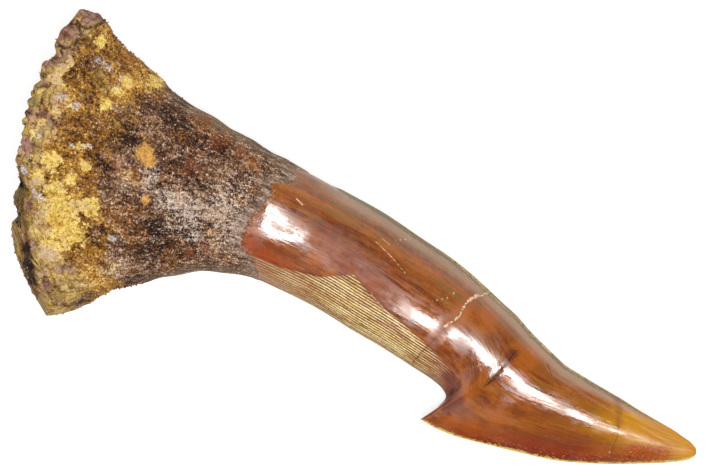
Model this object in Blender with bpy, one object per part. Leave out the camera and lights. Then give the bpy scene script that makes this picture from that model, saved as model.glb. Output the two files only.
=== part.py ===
"""A fossil sawfish rostral tooth: a barbed spine on a flared, folded root, lying on its side.

Blender 4.5, metres, +Z up. +X runs from the base of the root to the tip, +Y to the front edge.
The tooth grew as one piece, so it is one solid. It rests on the belly of its root and on the
underside of its cap. The origin is on that surface, under the middle of the tooth's box.

The form is drawn like the lines of a boat. At each station along the tooth a straight rib joins
the front edge to the back edge, and a lens of a given thickness stands on it, above and below.
"""

import math

import bmesh
import bpy
import numpy as np
from mathutils import Matrix, Vector, noise

MM = 0.001

# The lines, in millimetres. Each station has its distance along the tooth, the front edge, the
# back edge, the half thickness, and how fast the section thins towards the front and the back
# edge (0.5 and 0.5 is an ellipse, and larger values give a sharper edge).
LINES = (
    (0.0, (-3.3, 11.6), (3.4, -11.6), 5.2, 0.42, 0.42),
    (1.6, (-1.7, 11.3), (4.9, -10.7), 5.6, 0.42, 0.42),
    (3.7, (0.9, 9.9), (6.5, -8.4), 5.4, 0.44, 0.44),
    (6.7, (4.6, 8.5), (8.8, -6.45), 5.0, 0.46, 0.46),
    (9.6, (8.0, 7.95), (11.0, -4.65), 4.5, 0.48, 0.48),
    (12.5, (11.4, 7.5), (13.4, -3.1), 4.0, 0.5, 0.5),
    (15.6, (14.7, 7.2), (16.2, -2.4), 3.6, 0.5, 0.52),
    (18.8, (18.0, 7.1), (19.4, -2.35), 3.25, 0.52, 0.56),
    (22.1, (21.3, 6.8), (22.7, -2.5), 3.0, 0.58, 0.56),
    (25.4, (24.6, 6.5), (26.0, -2.95), 2.85, 0.66, 0.52),
    (28.7, (28.0, 5.9), (29.1, -3.3), 2.75, 0.7, 0.5),
    (31.5, (30.9, 5.4), (31.7, -3.7), 2.65, 0.7, 0.52),
    (33.7, (33.2, 4.8), (33.6, -4.0), 2.55, 0.7, 0.58),
    (35.1, (34.7, 4.3), (34.6, -4.35), 2.5, 0.69, 0.64),
    (36.1, (36.1, 3.8), (35.05, -4.8), 2.42, 0.68, 0.72),
    (37.1, (37.6, 3.3), (34.9, -5.55), 2.35, 0.67, 0.82),
    (38.0, (39.1, 2.6), (34.5, -6.4), 2.28, 0.66, 0.95),
    (38.8, (40.4, 2.1), (33.9, -7.25), 2.2, 0.65, 1.1),
    (39.9, (41.5, 1.7), (35.0, -7.4), 2.1, 0.65, 1.1),
    (41.5, (42.7, 1.3), (37.0, -7.35), 2.0, 0.65, 1.05),
    (43.4, (44.0, 1.1), (39.5, -6.95), 1.85, 0.66, 1.0),
    (45.5, (45.5, 0.9), (42.3, -6.45), 1.65, 0.67, 0.98),
    (48.0, (47.4, 0.7), (45.2, -5.85), 1.4, 0.68, 0.96),
    (50.8, (49.6, 0.4), (48.5, -4.65), 1.1, 0.7, 0.94),
    (53.4, (51.8, 0.15), (51.5, -3.3), 0.8, 0.72, 0.9),
    (55.4, (53.5, 0.0), (53.7, -2.2), 0.5, 0.72, 0.8),
    (56.6, (54.5, -0.15), (54.8, -1.5), 0.3, 0.65, 0.65),
    (57.2, (55.0, -0.4), (55.15, -1.1), 0.14, 0.5, 0.5),
)
TIP_LENGTH = 0.12
BARB = 38.8

CAP_START = 18.8

# The flared base bows back between its corners, most a little in front of the middle.
BOW = 3.9
BOW_PLACE = 0.43
BOW_FADE = 6.0

# The base face swells out behind the middle, and is a little hollow in front of it.
SWELL = 2.3
SWELL_PLACE = 0.88
HOLLOW = 0.8
HOLLOW_PLACE = 0.32
SWELL_WIDTH = 0.2
RIM_ROUNDING = 0.5

# Pits in the base face: place across from the front, height above the middle, radius and depth.
PITS = ((0.84, 2.6, 0.9, 0.8), (0.9, 1.4, 0.8, 0.7), (0.62, -1.6, 1.2, 0.7), (0.34, 0.8, 1.1, 0.7),
        (0.2, -1.8, 0.9, 0.6), (0.5, 2.0, 0.8, 0.5))

# The rim of the base is folded like a pie crust, and the folds run a short way up the root.
FOLDS = 34
FOLD_HEIGHT = 0.42
FOLD_FADE = 3.2

# Lumps of the crust on the root: size and height in millimetres.
LUMPS = ((4.5, 0.45), (1.9, 0.34))
CRUST_HEIGHT = 0.25

# Where the crust ends on the cap: place across the tooth from front to back, distance along it.
COLLAR = ((0.0, 18.4), (0.04, 16.9), (0.09, 17.6), (0.15, 17.2), (0.22, 15.8), (0.32, 16.1),
          (0.43, 15.8), (0.54, 15.0), (0.7, 14.7), (0.82, 15.4), (0.88, 16.3), (1.0, 17.0))
COLLAR_WIDTH = 0.7

# The striated band along the back edge: distance along the tooth, place across where it starts.
BAND = ((15.6, 0.83), (18.4, 0.83), (21.7, 0.75), (24.3, 0.58), (26.7, 0.68), (29.5, 0.72),
        (33.5, 0.79), (35.7, 0.84), (38.3, 0.67), (39.3, 0.67), (39.9, 0.9))
STRIA_HEIGHT = 0.08
BAND_DROP = 0.14

# The thin keel along the front edge of the cap.
KEEL_HEIGHT = 0.16

# How the tooth lies: turned about its length and tipped along it in degrees, then moved. What
# would reach below the surface, 0.18 mm at most, is worn flat.
ROLL = -4.3
PITCH = 5.85
REST_PLACE = (-24.644, -0.088, 5.8425)

# The mesh: points round the tooth, ring spacing on the root and on the cap in millimetres, and
# rings on the base face.
AROUND = 84
ROOT_SPACING = 1.05
CAP_SPACING = 1.7
BASE_RINGS = 6


def smooth_step(start, end, value):
    """0 before start, 1 after end, and a smooth rise between them."""
    share = np.clip((value - start) / (end - start), 0.0, 1.0)
    return share * share * (3.0 - 2.0 * share)


def curve_through(knots, values, places):
    """A smooth curve through the values at the knots, read at the places."""
    knots = np.asarray(knots, float)
    values = np.asarray(values, float)
    slopes = np.gradient(values, knots)
    index = np.clip(np.searchsorted(knots, places, side="right") - 1, 0, len(knots) - 2)
    width = knots[index + 1] - knots[index]
    share = (places - knots[index]) / width
    low, high = values[index], values[index + 1]
    start = slopes[index] * width
    end = slopes[index + 1] * width
    return (low * (1.0 + 2.0 * share) * (1.0 - share) ** 2 + start * share * (1.0 - share) ** 2
            + high * share ** 2 * (3.0 - 2.0 * share) + end * share ** 2 * (share - 1.0))


def lines_at(along):
    """Front edge, back edge, half thickness and the two edge sharpnesses at places along."""
    knots = [line[0] for line in LINES]

    def column(pick, first=0, last=len(LINES)):
        return curve_through(knots[first:last], [pick(line) for line in LINES[first:last]], along)

    barb = knots.index(BARB)
    before = along < BARB
    back = [np.where(before, column(lambda line, axis=axis: line[2][axis], 0, barb + 1),
                     column(lambda line, axis=axis: line[2][axis], barb)) for axis in (0, 1)]
    front = [column(lambda line, axis=axis: line[1][axis]) for axis in (0, 1)]
    return front, back, column(lambda line: line[3]), column(lambda line: line[4]), \
        column(lambda line: line[5])


def turns_round():
    """Angles round the section, spaced evenly along an ellipse twice as wide as it is thick."""
    angle = np.linspace(0.0, 2.0 * math.pi, 2001)
    step = np.hypot(np.diff(2.0 * np.cos(angle)), np.diff(np.sin(angle)))
    length = np.concatenate(([0.0], np.cumsum(step)))
    wanted = np.arange(AROUND) / AROUND * length[-1]
    return np.interp(wanted, length, angle)


def bow_at(across):
    """How far the rim of the base bows back, from 0 at its corners to 1."""
    skew = math.log(0.5) / math.log(BOW_PLACE)
    return np.sin(math.pi * across ** skew)


def surface(along, turn):
    """Points of the bare form: along the tooth in millimetres, turned round it in radians."""
    front, back, half, front_edge, back_edge = lines_at(along)
    across = 0.5 * (1.0 - np.cos(turn))
    peak = front_edge / (front_edge + back_edge)
    top = peak ** front_edge * (1.0 - peak) ** back_edge
    lens = across ** front_edge * (1.0 - across) ** back_edge / top
    bow = BOW * bow_at(across) * np.exp(-(along / BOW_FADE) ** 2)
    x = front[0] + (back[0] - front[0]) * across - bow
    y = front[1] + (back[1] - front[1]) * across
    z = half * lens * np.sign(np.sin(turn))
    return np.stack([x, y, z], axis=-1), across


def base_face(rim, bare_rim, across, ring):
    """One ring of the base face, drawn in from the rim: ring is 1 at the rim, 0 at the middle."""
    (front_x, front_y), (back_x, back_y) = LINES[0][1], LINES[0][2]
    inner = 0.5 + (across - 0.5) * ring
    height = rim[:, 2] * ring
    depth = math.sqrt(1.0 - ring ** 2)
    out = SWELL * depth * np.exp(-((inner - SWELL_PLACE) / SWELL_WIDTH) ** 2)
    out -= HOLLOW * depth * np.exp(-((inner - HOLLOW_PLACE) / SWELL_WIDTH) ** 2)
    out += RIM_ROUNDING * (1.0 - ring ** 6) + (bare_rim[:, 0] - rim[:, 0]) * ring ** 3
    chord = math.dist((front_x, front_y), (back_x, back_y))
    for place, rise, radius, pit_depth in PITS:
        away = np.hypot((inner - place) * chord, height - rise) / radius
        out -= pit_depth * np.exp(-away ** 2) * (1.0 - ring ** 6)
    x = front_x + (back_x - front_x) * inner - BOW * bow_at(inner) - out
    y = front_y + (back_y - front_y) * inner
    return np.stack([x, y, height], axis=-1)


def crust_share(along, across):
    """1 on the rough root, 0 on the smooth cap."""
    collar = np.interp(across, *np.transpose(COLLAR))
    return 1.0 - smooth_step(-COLLAR_WIDTH, 0.0, along - collar)


def band_share(along, across):
    """1 in the striated band that runs up the back edge to the barb."""
    knots, starts = np.transpose(BAND)
    start = np.interp(along, knots, starts)
    ends = smooth_step(knots[0], knots[0] + 1.0, along) * (1.0 - smooth_step(39.3, 39.9, along))
    thin_edge = 1.0 - smooth_step(0.96, 0.995, across)
    return smooth_step(start - 0.03, start + 0.03, across) * ends * thin_edge


def lumps_at(points, share):
    """Height of the crust's lumps, in millimetres."""
    height = np.zeros(len(points))
    for size, rise in LUMPS:
        for index, point in enumerate(points):
            height[index] += rise * noise.noise(Vector(point) / size + Vector((size, 3.0, 7.0)))
    return (height + CRUST_HEIGHT) * share


def fold_wave(turn):
    """The folds of the rim: rounded lobes with narrow creases, about 1 high in all."""
    lobe = np.abs(np.sin(0.5 * FOLDS * turn + 0.8 * np.sin(3.0 * turn) + 0.5 * np.sin(7.0 * turn)))
    return lobe ** 0.7 - 0.65


def relief(points, along, across, column):
    """How far the surface stands out from the bare form, in millimetres, without the folds."""
    crust = crust_share(along, across)
    ridge = np.where(column % 2 == 0, STRIA_HEIGHT, -STRIA_HEIGHT)
    ridge = ridge * (1.0 - smooth_step(35.0, 37.0, along))
    band = band_share(along, across) * (ridge - BAND_DROP)
    keel = KEEL_HEIGHT * (column == 0) * smooth_step(19.0, 21.0, along) * (along < 56.0)
    return lumps_at(points, crust) + band + keel


def ring_places():
    """Distances along the tooth of the mesh's rings, from the rim to the tip."""
    places = []
    for line, following in zip(LINES[:-1], LINES[1:]):
        spacing = ROOT_SPACING if line[0] < CAP_START else CAP_SPACING
        rings = math.ceil((following[0] - line[0]) / spacing)
        places += list(np.linspace(line[0], following[0], rings, endpoint=False))
    return places + [LINES[-1][0]]


def normals_of(grid):
    """Outward directions of a grid of rings, worked out from its neighbours."""
    ahead = np.gradient(grid, axis=0)
    round_it = np.roll(grid, -1, axis=1) - np.roll(grid, 1, axis=1)
    normal = np.cross(round_it, ahead)
    return normal / np.maximum(np.linalg.norm(normal, axis=-1, keepdims=True), 1e-9)


def flank_rings():
    """The rings of the root and the cap, from the rim to the tip."""
    turns = turns_round()
    places = ring_places()
    along, turn = np.meshgrid(places, turns, indexing="ij")
    bare, across = surface(along, turn)
    normal = normals_of(bare)
    column = np.broadcast_to(np.arange(AROUND), along.shape)
    height = relief(bare.reshape(-1, 3), along.ravel(), across.ravel(), column.ravel())
    folds = FOLD_HEIGHT * fold_wave(turn) * np.exp(-along / FOLD_FADE)
    outward = normal + np.array([-1.0, 0.0, 0.0]) * np.exp(-along / FOLD_FADE)[..., None]
    rings = bare + normal * height.reshape(along.shape)[..., None] + outward * folds[..., None]
    return rings, bare[0], across[0]


def base_rings(rim, bare_rim, across):
    """The rings of the base face, from the rim inwards, with the crust's lumps on them."""
    rings = []
    for step in range(1, BASE_RINGS):
        ring = 1.0 - step / BASE_RINGS
        points = base_face(rim, bare_rim, across, ring)
        lumps = lumps_at(points, 1.0) - CRUST_HEIGHT
        rings.append(points - np.array([1.0, 0.0, 0.0]) * lumps[:, None])
    return rings


def lie_down():
    """The turn and the move that lay the tooth on the surface, in millimetres."""
    roll = Matrix.Rotation(math.radians(ROLL), 4, "X")
    pitch = Matrix.Rotation(math.radians(PITCH), 4, "Y")
    return Matrix.Translation(Vector(REST_PLACE)) @ pitch @ roll


def tooth_material():
    """The colour of the whole tooth from a step away: brown enamel and ochre crust."""
    material = bpy.data.materials.new("fossil_tooth")
    material.use_nodes = True
    shader = material.node_tree.nodes["Principled BSDF"]
    shader.inputs["Base Color"].default_value = (0.3, 0.14, 0.05, 1.0)
    shader.inputs["Roughness"].default_value = 0.45
    shader.inputs["Metallic"].default_value = 0.0
    return material


def build_tooth():
    """The tooth as one closed solid."""
    flank, bare_rim, across = flank_rings()
    rings = base_rings(flank[0], bare_rim, across)[::-1] + list(flank)
    tooth = bmesh.new()
    loops = [[tooth.verts.new(point) for point in ring] for ring in rings]
    base_middle = tooth.verts.new(rings[0].mean(axis=0))
    tip = tooth.verts.new(flank[-1].mean(axis=0) + np.array([TIP_LENGTH, 0.0, 0.0]))
    for near, far in zip(loops[:-1], loops[1:]):
        for index in range(AROUND):
            following = (index + 1) % AROUND
            tooth.faces.new((near[index], near[following], far[following], far[index]))
    for index in range(AROUND):
        following = (index + 1) % AROUND
        tooth.faces.new((base_middle, loops[0][following], loops[0][index]))
        tooth.faces.new((tip, loops[-1][index], loops[-1][following]))
    tooth.transform(lie_down())
    for vertex in tooth.verts:
        if vertex.co.z < 0.0:
            vertex.co.z = 0.0
    bmesh.ops.triangulate(tooth, faces=tooth.faces)
    bmesh.ops.recalc_face_normals(tooth, faces=tooth.faces)
    tooth.transform(Matrix.Scale(MM, 4))
    mesh = bpy.data.meshes.new("rostral_tooth")
    tooth.to_mesh(mesh)
    tooth.free()
    mesh.materials.append(tooth_material())
    mesh.shade_smooth()
    solid = bpy.data.objects.new("rostral_tooth", mesh)
    bpy.context.collection.objects.link(solid)
    return solid


for leftover in list(bpy.data.objects):
    bpy.data.objects.remove(leftover)
build_tooth()
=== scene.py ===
"""The looks of a fossil sawfish rostral tooth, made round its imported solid.

Blender 4.5, metres. The tooth's form is worked out in millimetres in its own frame: +X from the
base of the root to the tip, +Y to the front edge, +Z out of the side that shows. It is drawn with
the same lines as the solid, much finer, and then laid down in the same place.
"""

import math

import bmesh
import bpy
import numpy as np
from mathutils import Matrix, Vector, noise


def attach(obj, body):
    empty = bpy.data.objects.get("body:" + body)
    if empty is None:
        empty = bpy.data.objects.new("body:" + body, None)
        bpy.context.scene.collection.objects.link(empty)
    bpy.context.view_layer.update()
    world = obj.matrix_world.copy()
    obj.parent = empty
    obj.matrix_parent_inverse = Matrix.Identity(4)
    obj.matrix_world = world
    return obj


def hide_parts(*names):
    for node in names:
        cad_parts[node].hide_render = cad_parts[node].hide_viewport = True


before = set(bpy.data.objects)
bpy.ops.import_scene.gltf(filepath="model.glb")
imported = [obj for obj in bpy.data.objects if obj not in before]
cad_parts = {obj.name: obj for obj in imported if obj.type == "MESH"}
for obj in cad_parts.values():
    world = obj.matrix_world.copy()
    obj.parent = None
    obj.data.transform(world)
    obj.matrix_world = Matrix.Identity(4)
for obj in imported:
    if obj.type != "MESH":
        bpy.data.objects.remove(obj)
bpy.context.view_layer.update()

MM = 0.001

# The lines of the tooth: distance along it, front edge, back edge, half thickness, and how fast
# the section thins towards the front and the back edge.
LINES = (
    (0.0, (-3.3, 11.6), (3.4, -11.6), 5.2, 0.42, 0.42),
    (1.6, (-1.7, 11.3), (4.9, -10.7), 5.6, 0.42, 0.42),
    (3.7, (0.9, 9.9), (6.5, -8.4), 5.4, 0.44, 0.44),
    (6.7, (4.6, 8.5), (8.8, -6.45), 5.0, 0.46, 0.46),
    (9.6, (8.0, 7.95), (11.0, -4.65), 4.5, 0.48, 0.48),
    (12.5, (11.4, 7.5), (13.4, -3.1), 4.0, 0.5, 0.5),
    (15.6, (14.7, 7.2), (16.2, -2.4), 3.6, 0.5, 0.52),
    (18.8, (18.0, 7.1), (19.4, -2.35), 3.25, 0.52, 0.56),
    (22.1, (21.3, 6.8), (22.7, -2.5), 3.0, 0.58, 0.56),
    (25.4, (24.6, 6.5), (26.0, -2.95), 2.85, 0.66, 0.52),
    (28.7, (28.0, 5.9), (29.1, -3.3), 2.75, 0.7, 0.5),
    (31.5, (30.9, 5.4), (31.7, -3.7), 2.65, 0.7, 0.52),
    (33.7, (33.2, 4.8), (33.6, -4.0), 2.55, 0.7, 0.58),
    (35.1, (34.7, 4.3), (34.6, -4.35), 2.5, 0.69, 0.64),
    (36.1, (36.1, 3.8), (35.05, -4.8), 2.42, 0.68, 0.72),
    (37.1, (37.6, 3.3), (34.9, -5.55), 2.35, 0.67, 0.82),
    (38.0, (39.1, 2.6), (34.5, -6.4), 2.28, 0.66, 0.95),
    (38.8, (40.4, 2.1), (33.9, -7.25), 2.2, 0.65, 1.1),
    (39.9, (41.5, 1.7), (35.0, -7.4), 2.1, 0.65, 1.1),
    (41.5, (42.7, 1.3), (37.0, -7.35), 2.0, 0.65, 1.05),
    (43.4, (44.0, 1.1), (39.5, -6.95), 1.85, 0.66, 1.0),
    (45.5, (45.5, 0.9), (42.3, -6.45), 1.65, 0.67, 0.98),
    (48.0, (47.4, 0.7), (45.2, -5.85), 1.4, 0.68, 0.96),
    (50.8, (49.6, 0.4), (48.5, -4.65), 1.1, 0.7, 0.94),
    (53.4, (51.8, 0.15), (51.5, -3.3), 0.8, 0.72, 0.9),
    (55.4, (53.5, 0.0), (53.7, -2.2), 0.5, 0.72, 0.8),
    (56.6, (54.5, -0.15), (54.8, -1.5), 0.3, 0.65, 0.65),
    (57.2, (55.0, -0.4), (55.15, -1.1), 0.14, 0.5, 0.5),
)
TIP_LENGTH = 0.12
BARB = 38.8
FRONT_CORNER, BACK_CORNER = LINES[0][1], LINES[0][2]

# The flared base: how far it bows back, how its face swells and hollows, its pits and its folds.
BOW = 3.9
BOW_PLACE = 0.43
BOW_FADE = 6.0
SWELL = 2.3
SWELL_PLACE = 0.88
HOLLOW = 0.8
HOLLOW_PLACE = 0.32
SWELL_WIDTH = 0.2
RIM_ROUNDING = 0.5
PITS = ((0.84, 2.6, 0.9, 0.8), (0.9, 1.4, 0.8, 0.7), (0.62, -1.6, 1.2, 0.7), (0.34, 0.8, 1.1, 0.7),
        (0.2, -1.8, 0.9, 0.6), (0.5, 2.0, 0.8, 0.5))
FOLDS = 34
FOLD_HEIGHT = 0.42
FOLD_FADE = 3.2

# The crust on the root: its coarse lumps as in the solid, and finer ones, as size and height.
LUMPS = ((4.5, 0.45), (1.9, 0.34))
FINE_LUMPS = ((0.85, 0.15), (0.42, 0.1))
CRUST_HEIGHT = 0.25

# Where the crust ends on the cap: place across the tooth from front to back, distance along it.
COLLAR = ((0.0, 18.4), (0.04, 16.9), (0.09, 17.6), (0.15, 17.2), (0.22, 15.8), (0.32, 16.1),
          (0.43, 15.8), (0.54, 15.0), (0.7, 14.7), (0.82, 15.4), (0.88, 16.3), (1.0, 17.0))

# Where the golden crust of the base gives way to the dark crust of the neck, told the same way.
OCHRE_END = ((0.0, 6.8), (0.14, 6.4), (0.28, 5.6), (0.41, 5.0), (0.55, 4.7), (0.9, 4.8), (1.0, 6.0))

# The striated band along the back edge: distance along the tooth, place across where it starts.
BAND = ((15.6, 0.83), (18.4, 0.83), (21.7, 0.75), (24.3, 0.58), (26.7, 0.68), (29.5, 0.72),
        (33.5, 0.79), (35.7, 0.84), (38.3, 0.67), (39.3, 0.67), (39.9, 0.9))
BAND_END = 37.4
BAND_DROP = 0.1
STRIA_HEIGHT = 0.035
STRIA_COLUMNS = 4

# The thin keel along the front edge of the cap, and where the grey margin behind it ends. Both
# have a shallow groove at their foot, told as width and depth.
KEEL_HEIGHT = 0.14
KEEL_WIDTH = 0.12
KEEL_START = 20.6
KEEL_END = (54.0, 56.5)
KEEL_FOOT = 0.42
KEEL_GROOVE = (0.14, 0.05)
MARGIN_END = 1.0
MARGIN_GROOVE = (0.16, 0.035)

# The other low relief of the cap: hairlines, the step of the broad crack, the ridge of the barb,
# and the ripples of the worn surface.
LINE_DEPTH = 0.03
STEP_HEIGHT = 0.05
STEP_MIDDLE = -0.95
BARB_RIDGE = ((34.4, -7.0), (35.0, -6.5), (35.7, -6.0))
BARB_RIDGE_HEIGHT = 0.07
BARB_RIDGE_WIDTH = 0.16
RIPPLE_HEIGHT = 0.012
RIPPLE_SIZE = 2.6

# How the tooth lies: turned about its length and tipped along it in degrees, then moved. What
# would dip below the floor is rounded up to it within FLOOR_ROUNDING.
ROLL = -4.3
PITCH = 5.85
REST_PLACE = (-24.644, -0.088, 5.8425)
FLOOR_ROUNDING = 0.06

# The fine mesh: points round the tooth, ring spacing in millimetres on the root, on the cap and
# round the barb, and rings on the base face. It stays under 200,000 triangles.
AROUND = 400
ROOT_SPACING = 0.2
CAP_START = 18.8
CAP_SPACING = 0.37
BARB_REACH = (35.0, 41.0)
BARB_SPACING = 0.22
BASE_RINGS = 24

# The straight rod that streaks are drawn on: its radius, and the stretch that the base face takes.
ROD_RADIUS = 4.0
FACE_REACH = (-5.0, -0.2)

# Pebbles of crust on the rim of the showing side: x, y, radius and how far they stand out in
# millimetres. Small ones follow each other evenly down the middle of the rim, in two rows, from
# a start across the tooth and at a spacing told as shares of its width. The folds between them
# and those of the other side follow a wave, held back to SHOWN_FOLDS of its height on the showing
# side. Shallow dents draw the rim in: their y, their reach and their depth. The base face is worn
# back a little, and its corners stand out.
SHOWN_FOLDS = 0.35
LOBE_WIDTH = 0.95
LOBE_HEIGHT = 0.16
LOBE_FADE = 1.5
RIM_DENTS = ((8.6, 0.5, 0.1), (7.6, 0.5, 0.7), (6.9, 0.5, 0.3), (6.1, 0.5, 0.3),
             (5.0, 0.6, 0.5), (3.2, 1.6, 0.2), (1.0, 0.4, 0.45), (-1.5, 0.7, -0.3),
             (-3.3, 0.5, 0.35), (-7.0, 1.4, 0.2))
CORNER_GROWTH = 0.3
FRONT_CORNER_GROWTH = 0.25
EDGE_DENTS = ((5.6, -9.8, 1.3, 0.4),)
BASE_WEAR = 0.2
RIM_PEBBLES = ((-3.2, 11.2, 0.9, 0.3), (-3.75, 10.95, 0.36, 0.55), (-4.2, 9.3, 0.95, 0.4),
               (-4.7, 7.8, 0.35, 0.3), (-4.7, 6.3, 0.55, 0.3), (-1.9, -1.5, 0.55, 0.15),
               (2.4, -9.4, 0.6, 0.2), (1.4, -8.2, 0.45, 0.15))
SMALL_PEBBLES = 10
SMALL_PEBBLE_START = 0.265
SMALL_PEBBLE_SPACING = 0.033
BASE_PEBBLES = ((-3.0, -3.9, 0.95, 0.3), (-2.4, -5.4, 0.55, -0.3), (-2.1, -6.5, 0.75, 0.2),
                (-2.9, -2.9, 0.35, -0.3), (-0.4, -7.5, 0.5, -0.3), (0.3, -8.5, 0.5, -0.2),
                (1.0, -9.5, 0.45, -0.01))

# Where the worn cap is flatter, which widens its highlight, or sharper, which narrows it: place
# along, place across, reach along, reach across in millimetres, and height.
CREST_CHANGES = ((16.9, 0.5, 1.8, 1.6, -0.27), (31.0, 0.6, 1.6, 1.2, -0.02),
                 (35.6, 0.6, 2.2, 1.5, -0.09), (40.8, 0.42, 2.4, 1.3, -0.04),
                 (39.3, 0.9, 0.9, 0.4, 0.1), (50.0, 0.42, 3.0, 0.6, 0.03))

# Where the marks of the showing side lie, in the tooth's frame: x, y and radius in millimetres.
# The underside carries the same marks, moved by UNDERSIDE_SHIFT.
UNDERSIDE_SHIFT = (0.9, -1.6)
PATCHES = {
    "yellow": (
        (1.0, -3.6, 1.6), (2.2, -4.9, 1.5), (0.2, -2.4, 0.9), (1.5, -6.6, 1.1), (3.1, -2.4, 0.8),
        (-1.0, -0.3, 0.8), (-1.4, -2.0, 0.6), (0.9, -0.9, 0.5), (0.5, 1.7, 0.35), (1.6, 0.4, 0.4),
        (-1.6, 9.8, 0.4), (-3.3, 7.4, 0.5), (-3.5, 6.7, 0.7), (-3.6, 5.8, 0.6), (-2.9, 5.3, 0.4),
        (1.6, 7.5, 0.5), (1.4, 6.6, 0.4), (0.9, 5.4, 0.5), (3.5, 8.45, 0.6), (-2.4, 3.4, 0.45),
        (-3.0, 2.1, 0.4), (-0.4, -7.4, 0.45), (-1.9, 4.3, 0.3)),
    "gloom": (
        (35.4, -4.1, 0.7), (36.1, -4.6, 0.5), (35.7, -5.0, 0.6), (35.5, -5.7, 0.4),
        (-1.4, 8.0, 0.8), (-1.0, 5.3, 0.75), (-2.0, 2.8, 0.6), (2.5, 5.1, 1.3), (4.0, 6.7, 1.0),
        (5.5, 7.0, 1.0), (3.4, 2.3, 1.2), (5.8, -0.2, 1.2), (12.3, 4.8, 1.2), (10.6, 4.8, 0.9),
        (8.6, 3.3, 0.8), (6.2, -6.1, 1.0), (6.3, -4.3, 0.9), (14.0, -0.9, 0.8), (13.0, -2.8, 1.0),
        (9.0, -4.5, 0.9), (38.4, 0.5, 0.45), (34.6, -3.3, 0.6), (35.4, -3.8, 0.5)),
    "warm": (
        (8.8, 6.9, 1.0), (8.0, 5.7, 0.9), (6.0, -1.8, 1.4), (7.6, -3.3, 0.9), (7.8, 2.1, 0.8),
        (13.1, 5.9, 0.6), (8.9, 4.5, 0.7), (10.5, -2.9, 1.0), (5.6, 1.2, 0.9)),
    "folded": (
        (3.6, -9.0, 2.2), (1.6, -7.4, 1.7), (0.2, -9.4, 1.8), (-3.6, 4.2, 1.9), (-3.0, 1.6, 1.5),
        (-2.6, -0.6, 1.2), (-1.6, -3.4, 1.0), (-0.4, -5.4, 1.0), (-0.6, 7.2, 0.6), (0.3, 6.6, 0.5)),
    "orange": (
        (5.3, 3.2, 0.8), (6.0, 2.8, 0.65), (6.9, -0.1, 0.45)),
    "purple": (
        (-3.2, 11.3, 1.0), (-4.2, 10.2, 0.6), (-4.4, 9.4, 1.1), (-4.9, 8.3, 0.5), (-4.8, 6.7, 0.7),
        (-4.2, 5.0, 0.5), (-1.2, -4.2, 0.5), (0.2, -3.4, 0.4), (-3.2, 0.1, 0.6), (-4.3, 2.4, 0.4),
        (-3.3, 2.6, 0.5), (2.4, -9.3, 0.5)),
    "rust": (
        (11.7, -2.5, 0.7), (7.0, 9.6, 0.7), (8.6, 7.4, 0.9), (10.4, 6.3, 1.0), (12.2, 6.1, 0.9),
        (0.8, 9.5, 0.9), (13.6, 5.9, 0.7), (50.6, -2.6, 0.7), (51.6, -2.3, 0.8), (52.6, -1.9, 0.7),
        (15.8, -0.1, 1.1), (17.3, -0.6, 1.1), (19.2, -0.8, 1.0), (3.6, 1.5, 0.8), (9.2, 3.6, 1.0),
        (12.6, -1.4, 0.8)),
    # Pale dust along the crest of the neck, partly painted sheen.
    "dust_and_sheen": (
        (10.4, 0.4, 1.7), (12.7, 1.8, 1.8), (14.4, 1.1, 1.6), (8.8, 0.8, 1.4), (11.6, -0.9, 0.8),
        (6.6, 1.4, 0.9)),
    "pale": (
        (-0.15, 1.5, 0.25), (0.7, 1.8, 0.22), (1.3, 2.0, 0.22), (-1.1, 8.4, 0.26),
        (-0.6, 8.3, 0.24), (-0.1, 8.1, 0.24), (0.4, 7.9, 0.24), (1.1, 7.5, 0.22), (-1.2, 4.4, 0.3),
        (-2.5, 4.6, 0.36), (-2.9, 1.1, 0.3), (-1.6, -3.0, 0.4), (-0.9, -3.2, 0.36),
        (5.8, -3.9, 0.35), (-2.6, -1.9, 0.4)),
    "green": (
        (-4.3, 3.4, 0.5), (-4.4, 5.2, 0.4), (2.6, -11.0, 0.8), (9.4, 8.1, 1.2)),
    "polish": (
        (17.3, 2.3, 1.9), (28.2, 0.9, 1.2), (29.5, 0.2, 1.2), (31.0, 0.3, 1.6), (33.0, -0.6, 1.4),
        (34.6, -1.2, 1.8), (36.6, -2.0, 2.2), (37.3, -5.9, 1.3), (35.1, -6.4, 0.7),
        (38.8, -1.7, 2.4), (42.0, -1.7, 2.6), (46.0, -1.6, 2.8), (50.0, -1.4, 2.6)),
    "mauve": (
        (21.3, 2.6, 1.5), (23.3, 1.8, 1.7), (25.3, 1.2, 1.6), (27.2, 0.8, 1.4), (48.0, 0.9, 0.6)),
    "amber": (
        (21.1, 1.1, 1.0), (22.6, 0.5, 0.9), (36.2, -6.4, 1.1), (37.8, -6.2, 1.1), (39.5, -4.6, 1.1),
        (33.6, 1.9, 1.3), (35.4, 2.0, 1.3), (36.4, -3.6, 0.9), (39.6, 0.8, 1.6)),
}

# Small pits in the crust: x, y, radius and depth in millimetres.
CRUST_PITS = ((-2.5, 2.3, 0.3, 0.3), (-1.6, 2.5, 0.28, 0.3), (0.3, -8.3, 0.3, 0.3),
              (5.2, 5.4, 0.4, 0.2), (8.2, 3.4, 0.4, 0.18), (3.9, -4.6, 0.35, 0.2))
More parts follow.
